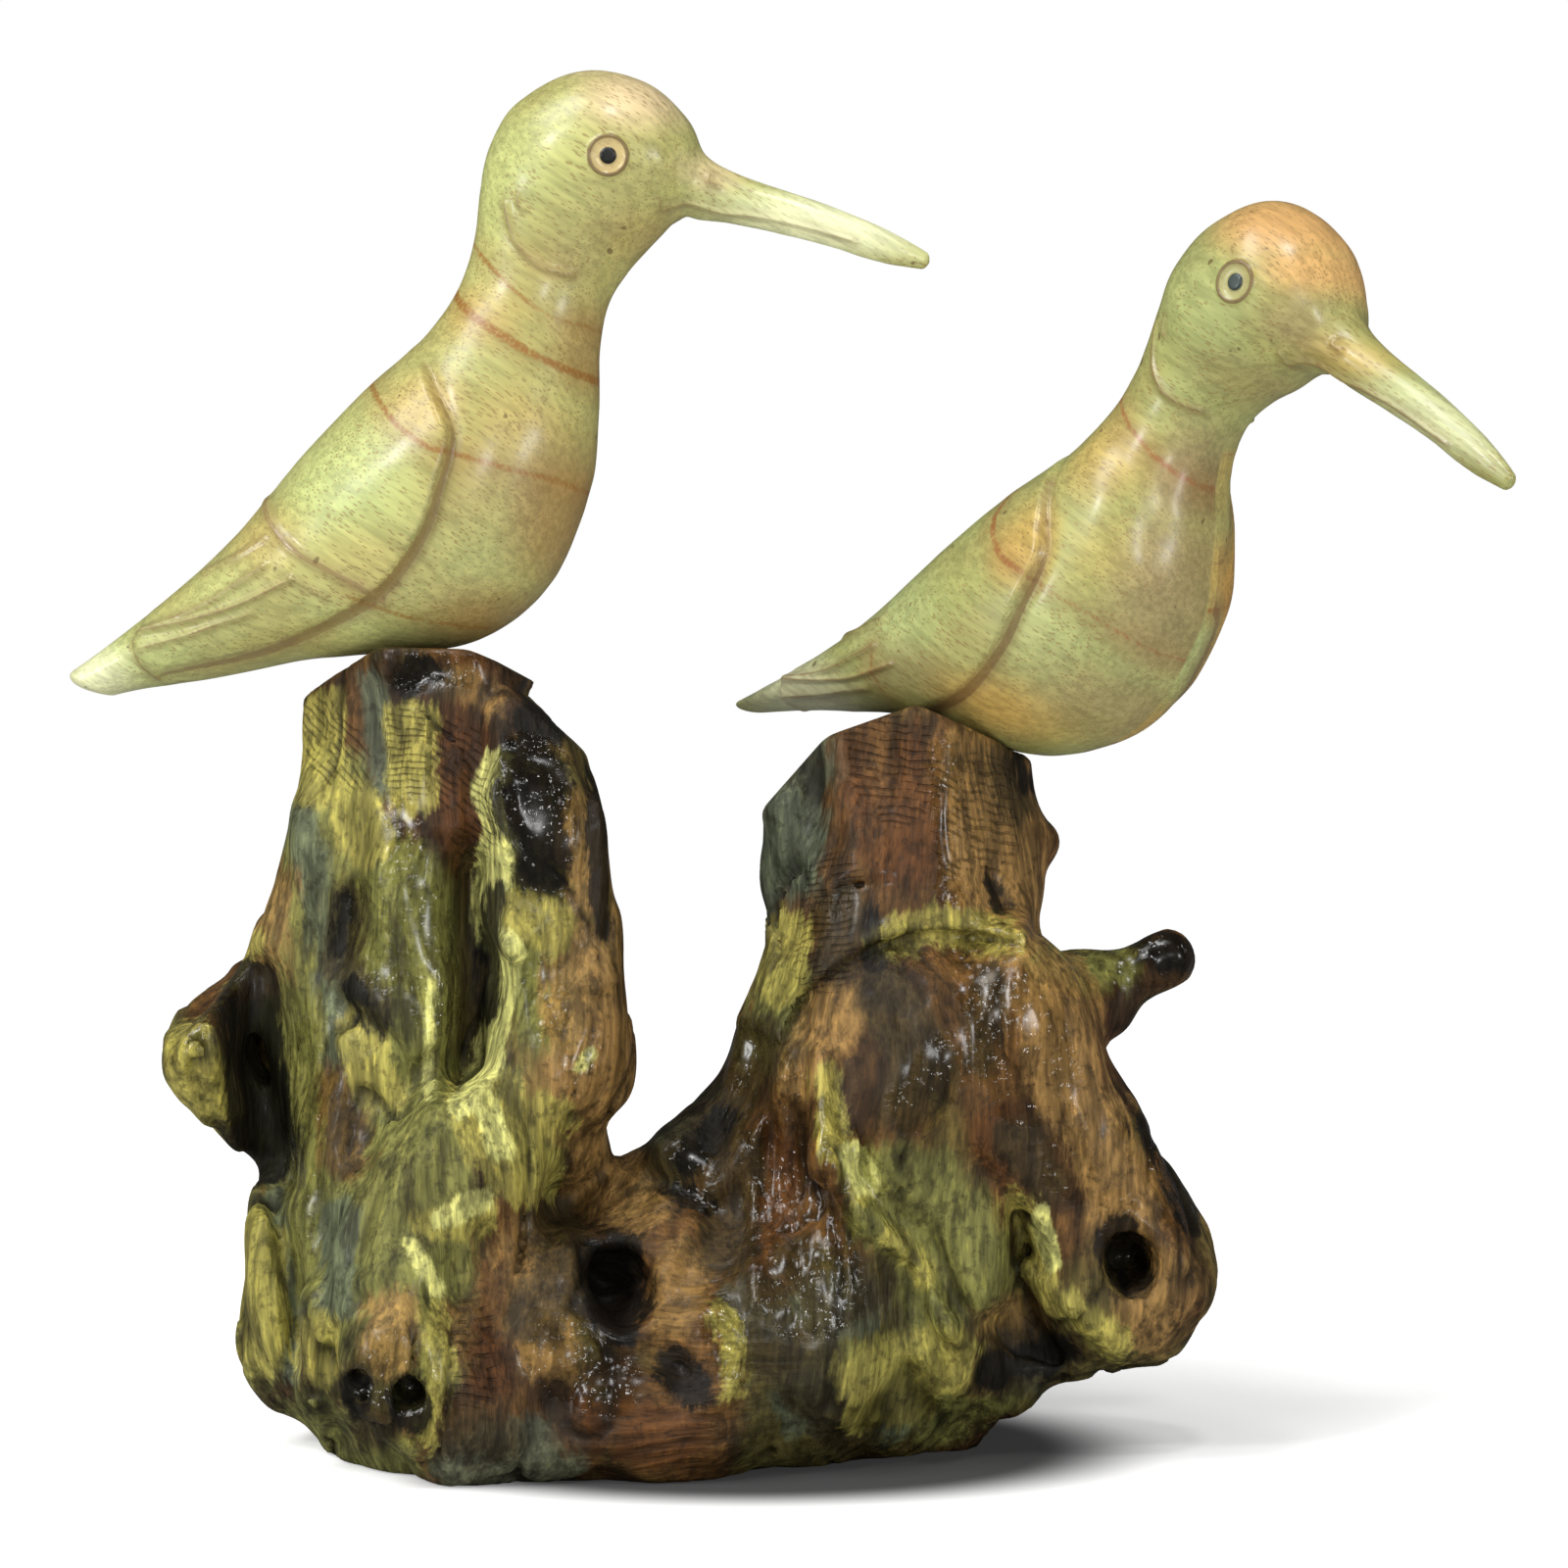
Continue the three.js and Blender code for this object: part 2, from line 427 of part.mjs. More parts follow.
// Below zero inside a tapering limb, above zero outside
function limbDistance(limb, x, y, z) {
  const [ax, ay, az] = limb.from;
  const [bx, by, bz] = limb.to;
  const ex = bx - ax;
  const ey = (by - ay) / limb.depth;
  const ez = bz - az;
  const px = x - ax;
  const py = (y - ay) / limb.depth;
  const pz = z - az;
  const along = (px * ex + py * ey + pz * ez) / (ex * ex + ey * ey + ez * ez);
  const t = Math.min(Math.max(along, 0), 1);
  let distance = Math.hypot(px - t * ex, py - t * ey, pz - t * ez) - limb.r0 - t * (limb.r1 - limb.r0);
  if (limb.ribs) {
    const [count, height, twist] = limb.ribs;
    distance -= height * Math.sin(count * (Math.atan2(py - t * ey, px - t * ex) + twist * z));
  }
  for (const [at, facing] of limb.flats ?? []) {
    const beyond = (x - at[0]) * facing[0] + (y - at[1]) * facing[1] + (z - at[2]) * facing[2];
    distance = -melt(-distance, -beyond / Math.hypot(...facing), FLAT_MELT);
  }
  return distance;
}

function melt(a, b, length) {
  const h = Math.max(length - Math.abs(a - b), 0) / length;
  return Math.min(a, b) - (h * h * length) / 4;
}

function rootDistance(x, y, z) {
  let distance = limbDistance(LIMBS[0], x, y, z);
  for (const limb of LIMBS.slice(1)) distance = melt(distance, limbDistance(limb, x, y, z), limb.melt);
  for (const hollow of HOLLOWS) distance = -melt(-distance, limbDistance(hollow, x, y, z), hollow.melt);
  return distance + unevenness(x, y, z);
}

// The low swellings and dips of weathered wood
function unevenness(x, y, z) {
  const broad = Math.sin(0.19 * x + 0.03 * z + 0.6) * Math.sin(0.16 * y + 0.05 * z + 1.1);
  const close = Math.sin(0.31 * x - 0.24 * y + 0.07 * z) * Math.sin(0.17 * z + 0.12 * x + 0.4);
  return BROAD_SWELL * broad + CLOSE_SWELL * close;
}

// A closed skin where a distance is zero: one point in each crossed cell, four-sided faces between them
function skinOf(distance, low, high, cell) {
  const counts = low.map((value, k) => Math.ceil((high[k] - value) / cell) + 1);
  const [nx, ny, nz] = counts;
  const at = (i, j, k) => (i * ny + j) * nz + k;
  const values = new Float64Array(nx * ny * nz);
  for (let i = 0; i < nx; i += 1) {
    for (let j = 0; j < ny; j += 1) {
      for (let k = 0; k < nz; k += 1) {
        values[at(i, j, k)] = distance(low[0] + i * cell, low[1] + j * cell, low[2] + k * cell);
      }
    }
  }
  const steps = [at(1, 0, 0), at(0, 1, 0), at(0, 0, 1)];
  partSheets(values, steps);
  const corners = [];
  for (let c = 0; c < 8; c += 1) corners.push([c & 1, (c >> 1) & 1, (c >> 2) & 1]);
  const points = [];
  const pointOf = new Map();
  for (let i = 0; i < nx - 1; i += 1) {
    for (let j = 0; j < ny - 1; j += 1) {
      for (let k = 0; k < nz - 1; k += 1) {
        const found = cellPoint(corners, (a, b, c) => values[at(i + a, j + b, k + c)]);
        if (!found) continue;
        const point = [i, j, k].map((n, axis) => low[axis] + (n + found[axis]) * cell);
        pointOf.set(at(i, j, k), points.length / 3);
        points.push(...settle(distance, point, cell / 2));
      }
    }
  }
  const faces = [];
  for (const [place] of pointOf) {
    for (let axis = 0; axis < 3; axis += 1) {
      const u = steps[(axis + 1) % 3];
      const v = steps[(axis + 2) % 3];
      const inside = values[place] < 0;
      if (inside === values[place + steps[axis]] < 0) continue;
      const ring = [place, place - u, place - u - v, place - v].map((n) => pointOf.get(n));
      if (ring.includes(undefined)) continue;
      if (!inside) ring.reverse();
      faces.push(...splitQuad(points, ring));
    }
  }
  const geometry = new THREE.BufferGeometry();
  geometry.setAttribute("position", new THREE.Float32BufferAttribute(points, 3));
  geometry.setIndex(faces);
  return geometry;
}

// Fills in corners until no two sheets of the skin cross one side of a cell, which would leave it open
function partSheets(values, steps) {
  let filled = true;
  while (filled) {
    filled = false;
    for (let place = 0; place < values.length - steps[0] - steps[1] - 1; place += 1) {
      for (let axis = 0; axis < 3; axis += 1) {
        const u = steps[(axis + 1) % 3];
        const v = steps[(axis + 2) % 3];
        const [a, b, c, d] = [place, place + u, place + u + v, place + v];
        const crossed = values[a] < 0 === values[c] < 0 && values[b] < 0 === values[d] < 0;
        if (!crossed || values[a] < 0 === values[b] < 0) continue;
        const outside = values[a] < 0 ? [b, d] : [a, c];
        const nearest = values[outside[0]] < values[outside[1]] ? outside[0] : outside[1];
        values[nearest] = -JUST_INSIDE;
        filled = true;
      }
    }
  }
}

// The mean of the places where the skin crosses the edges of one cell
function cellPoint(corners, valueAt) {
  const sum = [0, 0, 0];
  let crossings = 0;
  for (const a of corners) {
    for (let axis = 0; axis < 3; axis += 1) {
      if (a[axis] === 1) continue;
      const b = a.map((n, k) => (k === axis ? 1 : n));
      const va = valueAt(...a);
      const vb = valueAt(...b);
      if (va < 0 === vb < 0) continue;
      for (let k = 0; k < 3; k += 1) sum[k] += a[k] + (k === axis ? va / (va - vb) : 0);
      crossings += 1;
    }
  }
  return crossings ? sum.map((n) => n / crossings) : null;
}

// Moves a point onto the skin along the steepest way, no further than a limit
function settle(distance, start, limit) {
  const point = [...start];
  const probe = 0.05;
  const leastSlope = 0.2;
  for (let turn = 0; turn < 3; turn += 1) {
    const [x, y, z] = point;
    const here = distance(x, y, z);
    const slope = [
      (distance(x + probe, y, z) - here) / probe,
      (distance(x, y + probe, z) - here) / probe,
      (distance(x, y, z + probe) - here) / probe,
    ];
    const steep = slope[0] ** 2 + slope[1] ** 2 + slope[2] ** 2;
    for (let k = 0; k < 3; k += 1) {
      const moved = point[k] - (slope[k] * here) / Math.max(steep, leastSlope);
      point[k] = Math.min(Math.max(moved, start[k] - limit), start[k] + limit);
    }
  }
  return point;
}

// Two triangles, split along the shorter way across
function splitQuad(points, [a, b, c, d]) {
  const gap = (m, n) => Math.hypot(...[0, 1, 2].map((k) => points[3 * m + k] - points[3 * n + k]));
  if (gap(a, c) < gap(b, d)) return [a, b, c, a, c, d];
  return [a, b, d, b, c, d];
}

function cutBlock(cut) {
  const block = new THREE.BoxGeometry(cut.size, cut.size, cut.size);
  const facing = new THREE.Vector3(...cut.facing).normalize();
  block.translate(0, 0, cut.size / 2);
  block.applyQuaternion(new THREE.Quaternion().setFromUnitVectors(new THREE.Vector3(0, 0, 1), facing));
  block.translate(...cut.at);
  return block;
}

function rootBase(seats) {
  let root = toSolid(skinOf(rootDistance, ROOT_LOW, ROOT_HIGH, ROOT_CELL));
  const ground = new THREE.BoxGeometry(GROUND.width, GROUND.width, GROUND.depth);
  ground.translate(0, 0, -GROUND.depth / 2);
  root = root.subtract(toSolid(ground));
  for (const cut of CUTS) root = root.subtract(toSolid(cutBlock(cut)));
  for (const seat of seats) root = root.subtract(toSolid(seat));
  return toGeometry(root);
}

// The group

const seats = [LEFT_BIRD, RIGHT_BIRD].map((bird) => {
  return seatBird(birdSkin(bird.sections, SEAT_GAP, WING_PROUD), bird);
});
const pieces = {
  bird_left: [seatBird(carvedBird(LEFT_BIRD.sections), LEFT_BIRD), MATERIALS.bird],
  bird_right: [seatBird(carvedBird(RIGHT_BIRD.sections), RIGHT_BIRD), MATERIALS.otherBird],
  root_base: [rootBase(seats), MATERIALS.root],
};

const group = new THREE.Group();
for (const [name, [geometry, material]] of Object.entries(pieces)) {
  const mesh = new THREE.Mesh(geometry, material);
  mesh.name = name;
  mesh.position.set(-GROUP_MIDDLE.x, -GROUP_MIDDLE.y, 0);
  group.add(mesh);
}

export default group;
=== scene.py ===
"""Two carved wooden shorebirds on one varnished driftwood root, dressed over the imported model."""

import math

import bpy
import numpy as np
from mathutils import Color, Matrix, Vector
from mathutils.bvhtree import BVHTree


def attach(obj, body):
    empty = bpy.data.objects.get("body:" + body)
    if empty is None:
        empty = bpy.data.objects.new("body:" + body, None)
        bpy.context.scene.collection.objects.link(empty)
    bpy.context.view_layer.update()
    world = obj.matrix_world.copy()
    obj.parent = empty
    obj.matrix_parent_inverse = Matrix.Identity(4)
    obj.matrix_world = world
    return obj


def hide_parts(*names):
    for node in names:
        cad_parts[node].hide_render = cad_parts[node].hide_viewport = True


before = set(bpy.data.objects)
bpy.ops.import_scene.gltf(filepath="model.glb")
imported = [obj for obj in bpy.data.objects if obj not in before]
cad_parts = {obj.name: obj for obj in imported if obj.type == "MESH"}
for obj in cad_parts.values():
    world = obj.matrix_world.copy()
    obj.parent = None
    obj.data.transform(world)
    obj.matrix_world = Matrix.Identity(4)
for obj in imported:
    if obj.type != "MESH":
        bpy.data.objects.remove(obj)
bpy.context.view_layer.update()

bl_info = {
    "name": "Carved birds on a root",
    "version": (1, 0, 0),
    "blender": (4, 5, 0),
    "location": "3D View > Sidebar > Carving",
    "description": "Two carved wooden shorebirds on a varnished driftwood root",
    "category": "Add Mesh",
}

# All tables are in millimetres, in the carver's own layout, which is shifted into the frame
MM = 0.001
GROUP_SHIFT = (6.03, 8.56, 0.0)

# The place that the front of the root is drawn from: how far before the layout, and how high.
# The camera stands there too.
VIEW_DISTANCE = 550.0
VIEW_HEIGHT = 101.0
LENS = 82.5
SENSOR_WIDTH = 36.0

# The floor's rim and how much it glows, and the way the window's light falls and how wide it is
FLOOR_SIDES = 96
FLOOR_GLOW = 0.47
WINDOW_WAY = (0.62, 0.35, -1.0)
WINDOW_WIDTH = math.radians(24.0)

# The lamps that glint in the varnish: place and size in metres, power, and what they shine at
LAMPS = (
    ("lamp_above", (0.1, -0.5, 1.0), 0.13, 2.2),
    ("lamp_left", (-0.7, -0.7, 0.75), 0.17, 4.1),
    ("lamp_low_left", (-0.95, -0.5, 0.25), 0.12, 1.8),
    ("lamp_front", (0.28, -1.05, 0.3), 0.11, 1.9),
    ("lamp_right", (0.75, -0.7, 0.25), 0.12, 1.7),
)
LAMPS_AIM = Vector((0.0, 0.0, 0.1))

# The shadow painted on the floor round the root's foot, in metres: the middle and the size
# of each pool, where it begins and ends to fade, and how bright its darkest part is
PAINTED_FLOOR_SHADOWS = (
    ((0.001, 0.0056, 0.0), (0.05, 0.038, 1.0), 0.88, 1.35, 0.06),
    ((0.026, 0.0206, 0.0), (0.085, 0.062, 1.0), 0.45, 1.1, 0.8),
)

# Sections of a bird, tail to bill tip, with the belly's lowest point at 0, 0:
# the back's x and z, the underside's x and z, and the half width
BIRD_SECTIONS = {
    "tail tip": (-58.4, -4.4, -51.8, -7.4, 5.0),
    "tail": (-51.0, 0.5, -46.0, -6.2, 7.0),
    "tail root": (-40.5, 8.4, -35.5, -4.6, 9.6),
    "rump": (-30.0, 17.7, -21.0, -1.8, 13.4),
    "loin": (-19.2, 30.3, -6.0, -0.6, 16.4),
    "belly": (-10.4, 39.3, 7.5, 1.5, 17.6),
    "breast": (-3.0, 45.8, 18.2, 9.8, 17.0),
    "shoulder": (2.0, 51.3, 24.3, 24.2, 14.6),
    "low neck": (4.7, 55.8, 25.8, 36.3, 11.8),
    "neck": (6.2, 60.0, 25.8, 45.3, 10.2),
    "throat": (7.1, 64.1, 27.2, 52.8, 10.0),
    "nape": (7.7, 70.1, 30.0, 57.2, 11.0),
    "cheek": (9.2, 76.8, 33.0, 60.5, 12.4),
    "crown": (13.8, 83.6, 35.3, 62.9, 13.0),
    "eye": (23.5, 88.0, 37.0, 64.6, 12.6),
    "brow": (33.6, 85.9, 38.2, 65.4, 10.4),
    "forehead": (39.8, 80.0, 39.4, 65.7, 7.2),
    "bill root": (42.2, 75.0, 41.2, 65.2, 5.0),
    "bill": (47.5, 71.8, 46.0, 64.6, 3.6),
    "mid bill": (61.5, 67.0, 60.1, 61.1, 2.6),
    "fore bill": (71.4, 62.6, 69.8, 58.0, 2.0),
    "bill tip": (76.8, 59.2, 76.0, 57.0, 0.9),
}
RIGHT_SECTIONS = BIRD_SECTIONS | {
    "tail tip": (-59.0, -4.4, -57.2, -5.9, 4.0),
    "tail": (-51.5, 0.2, -49.0, -3.8, 7.0),
    "tail root": (-40.2, 8.0, -36.8, -1.2, 9.6),
    "rump": (-29.6, 17.2, -21.5, 1.0, 13.4),
    "loin": (-18.7, 29.8, -6.0, -0.6, 16.4),
    "belly": (-9.9, 38.8, 7.5, 1.5, 17.6),
    "breast": (-2.5, 45.3, 18.8, 9.4, 17.0),
    "shoulder": (2.6, 50.9, 24.9, 24.2, 14.6),
    "low neck": (5.4, 55.5, 24.4, 36.8, 11.0),
    "neck": (7.0, 59.8, 23.2, 46.0, 9.2),
    "throat": (8.0, 64.0, 24.6, 54.0, 9.0),
    "nape": (8.6, 70.0, 28.2, 58.6, 9.8),
    "cheek": (10.0, 76.5, 32.4, 61.6, 11.1),
    "crown": (14.4, 83.1, 34.8, 63.8, 11.9),
    "eye": (23.5, 88.0, 36.8, 65.0, 11.5),
    "brow": (33.2, 85.5, 38.2, 65.4, 9.3),
    "forehead": (39.0, 79.6, 39.4, 65.7, 6.8),
    "bill root": (42.0, 75.0, 41.4, 65.8, 5.0),
}

# How closely the rings lie along a bird, by section: closest where the eye and the face are cut
RING_CLOSENESS = [
    3.0, 1.6, 1.5, 1.6, 1.6, 1.5, 1.4, 1.4, 1.4, 1.4, 2.0, 3.0, 3.2, 3.2, 3.2, 3.0, 2.6, 2.0,
    1.2, 0.9, 0.9, 3.0,
]
BIRD_RINGS = 440
BIRD_SIDES = 224
FLANK_CLOSENESS = 0.25
FINE_PLACES = 4000

# How far back the tail's and the bill's rounding begins, and in how many parts the shorter one
# is counted, of which the last lies beyond the end rings
TAIL_ROUND = 2.0
BILL_ROUND = 0.9
END_PARTS = 40

# The folded wing's outline from the side, and how far it stands off the flank
WING_EDGE = [
    (1.4, 42), (4.6, 36), (6.4, 32), (6.3, 28.5), (5, 24), (2.6, 17), (-1.9, 10.6), (-6, 7.1),
    (-11.2, 4.3), (-18, 1.5), (-24.5, -0.6), (-33, -2.5), (-41.9, -4.2),
]
WING_TIP = [(-43.6, -2.6), (-44.6, 0.6), (-43.8, 6)]
OVER_THE_BACK = [(-45, 40), (-8, 56)]
WING_BEVEL = (-0.3, 1.2)

# The neck, where the head's own turn and nod set in
NECK = {"x": 17.0, "z": 60.0, "from": 46.0, "to": 72.0, "lean": 0.35}

# Carved lines on a bird, seen from the side: width, height, the reach of a ledge that rises on
# the right of the way it is drawn, the half width of the brown left in it, and the line
CUTS = [
    ("covert line", 0.8, -0.45, None, 0.42, [(-24.6, 23.2), (-22.6, 19.4), (-19.4, 15.8),
        (-15.9, 13), (-12, 11), (-7.6, 8.6), (-4.5, 6.5)]),
    ("covert step", 0.7, 0.4, 9, None, [(-7.2, 8.3), (-12, 11), (-15.9, 13), (-19.4, 15.8),
        (-22.6, 19.4), (-24.6, 23.2)]),
    ("top feather", 0.55, -0.45, None, 0.16, [(-33.5, 11.4), (-28, 13.3), (-22.5, 16.1)]),
    ("second feather", 0.6, -0.5, None, 0.16, [(-42.7, 2.7), (-33, 5.9), (-27.6, 8.8),
        (-22.3, 11.8)]),
    ("third feather", 0.45, -0.5, None, 0.2, [(-44, 2.1), (-33.1, 4.4), (-26.5, 6.2),
        (-18, 9.8)]),
    ("fourth feather", 0.6, -0.45, None, 0.16, [(-43.5, -0.3), (-36, 1.5), (-29.9, 3.4),
        (-24.7, 4.8)]),
    ("cheek line", 0.45, -0.45, None, 0.2, [(13.2, 66.7), (13.8, 63.6), (15, 60.5), (17.3, 57.8),
        (19.8, 56.5), (23, 56)]),
    ("cheek nick", 0.35, -0.3, None, 0.12, [(15.3, 67.7), (15.4, 66.3), (16.2, 65.4)]),
    ("mouth", 0.4, -0.45, None, 0.14, [(36, 66.9), (36.3, 65.9), (38.6, 66.9), (41.2, 66.9),
        (44.9, 65.9), (48.8, 65.4), (53.7, 64.5), (58.8, 63.2), (65.3, 61.2)]),
    ("nostril", 0.4, -0.4, None, 0.18, [(43.4, 71.2), (43.2, 70.2), (44.4, 69.6)]),
    ("wing end", 0.6, -0.5, None, 0.3, [(-44.6, 1.2), (-44.2, -1.3), (-43, -3.2), (-41.6, -4.4)]),
    ("crack", 0.35, -0.5, None, 0.14, [(-18, 10.1), (-13.3, 7.2)]),
]

# The eye's sizes
EYE = {
    "ring": 2.85, "ring_width": 0.42, "ring_depth": 0.42, "ball": 0.25, "ball_flat": 1.2,
    "pupil": 1.28, "pupil_depth": 0.35,
}

# How wide the brown at the wing's edge is on either side, at shares of the way along the edge,
# how far inside the edge it ends, and the distances that stand for no brown and no growth ring
EDGE_STAIN = ((0.0, 0.15, 0.5, 0.75, 1.0), (0.1, 0.3, 0.85, 0.5, 0.2))
EDGE_STAIN_END = 0.9
NO_STAIN = 4.0
NO_BAND = 6.0

# Where the far wing's shift fades out on the neck, how deep and how far the flank is pressed in
# round a wing, the shares of the width between which the cuts set in, the share where the brown
# begins, and the swellings that the hand leaves: height, size and shift
HEIGHT_OF_NECK = (44, 56)
WING_PRESS, WING_PRESS_REACH = 0.35, 1.3
CUTS_SET_IN = (0.12, 0.45)
BROWN_SETS_IN = 0.1
HAND_MARKS = ((0.14, 9, 0), (0.05, 3, 9))

# Where a soft spot of colour begins and ends to fade, as shares of its size
SPOT_FADE = (0.2, 1.25)

# Soft colour spots on a bird, seen from the side: colour, middle, half sizes, strength. The
# shade spots are painted shade on the breast's side away from the light, under the jaw and
# under the belly, over the breast's own browner wood
LEFT_SPOTS = [
    ("blush", 33, 83, 10, 7, 0.75), ("blush", 44, 72, 6, 4, 0.5), ("blush", 27, 88, 9, 3, 0.5),
    ("amber", 2, 36, 8, 6, 0.7), ("amber", 9, 50, 8, 6, 0.5), ("amber", -22, 16, 9, 6, 0.35),
    ("amber", -8, 12, 9, 7, 0.3), ("amber", 16, 34, 9, 7, 0.45), ("shade", 22, 19, 10, 17, 1.0),
    ("shade", 12, 4, 14, 7, 0.8), ("shade", 25, 45, 6, 10, 0.8), ("shade", 34, 62, 10, 5, 0.5),
    ("shade", 20, 57, 9, 5, 0.4), ("shade", 10, 25, 9, 9, 0.4), ("pale", -10, 24, 14, 13, 0.9),
    ("pale", -46, -1, 14, 7, 0.8), ("pale", -30, 8, 9, 8, 0.4), ("pale", 12, 72, 9, 12, 0.5),
    ("pale", 58, 64, 18, 6, 0.9), ("pale", 14, 55, 5, 5, 0.4), ("pale", -6, 4, 12, 4, 0.5),
    ("cream", 62, 64, 22, 7, 0.85), ("cream", -52, -4, 8, 6, 0.75),
]
RIGHT_SPOTS = [
    ("blush", 30, 85, 16, 7, 1.0), ("blush", 37, 80, 8, 5, 0.9), ("blush", 20, 86, 8, 5, 0.7),
    ("amber", 3, 32, 7, 8, 0.7), ("amber", 0, 7, 12, 6, 0.7), ("amber", 10, 46, 9, 8, 0.5),
    ("amber", 15, 33, 8, 8, 0.3), ("amber", 46, 69, 9, 3, 0.5), ("shade", 23, 28, 8, 16, 0.7),
    ("shade", 17, 10, 12, 8, 0.6), ("shade", 22, 46, 6, 10, 0.7), ("shade", 30, 62, 10, 5, 0.4),
    ("shade", 38, 72, 5, 5, 0.5), ("shade", -14, 10, 10, 5, 0.4), ("pale", -20, 16, 12, 10, 0.7),
    ("pale", -40, 2, 16, 8, 0.8), ("pale", 9, 40, 6, 8, 0.4), ("pale", 8, 20, 8, 9, 0.5),
    ("pale", 62, 64, 16, 6, 0.6), ("pale", 22, 72, 10, 9, 0.4), ("cream", 64, 64, 18, 6, 0.5),
    # This cream spot is partly painted light, lifting the tail's underside out of its shade
    ("cream", -42, 1, 18, 8, 1.0),
]

# Growth rings that cross a bird as brown lines: half width and line
LEFT_BANDS = [
    (0.5, [(-9.6, 43), (-8.3, 40.4), (-4.6, 35.6), (-0.9, 31.9), (3.3, 29.2), (6.3, 28.4),
        (13, 26.6), (19.7, 25), (27, 22.8)]),
    (0.7, [(3.4, 55.6), (5.9, 51.9), (11.2, 47.6), (19.9, 42.5), (27.8, 40)]),
    (0.28, [(-9.2, 7.1), (-3.7, 5), (1.9, 3.6), (9.2, 3)]),
    (0.3, [(6.4, 62.4), (11, 57), (19, 50), (27, 48)]),
]
RIGHT_BANDS = [
    (0.55, [(-7.8, 41), (-6.8, 36.9), (-5.2, 33.5), (-0.5, 29.7), (3.9, 28.2)]),
    (0.3, [(3.9, 28.2), (7.8, 26.3), (13.2, 24.5), (18.4, 22.2), (26, 17.5)]),
    (0.4, [(5, 57), (11.9, 52.2), (18.4, 47.6), (25, 43.6)]),
    (0.25, [(-22.6, 12), (-22.3, 7.5), (-21.2, 4.7)]),
]

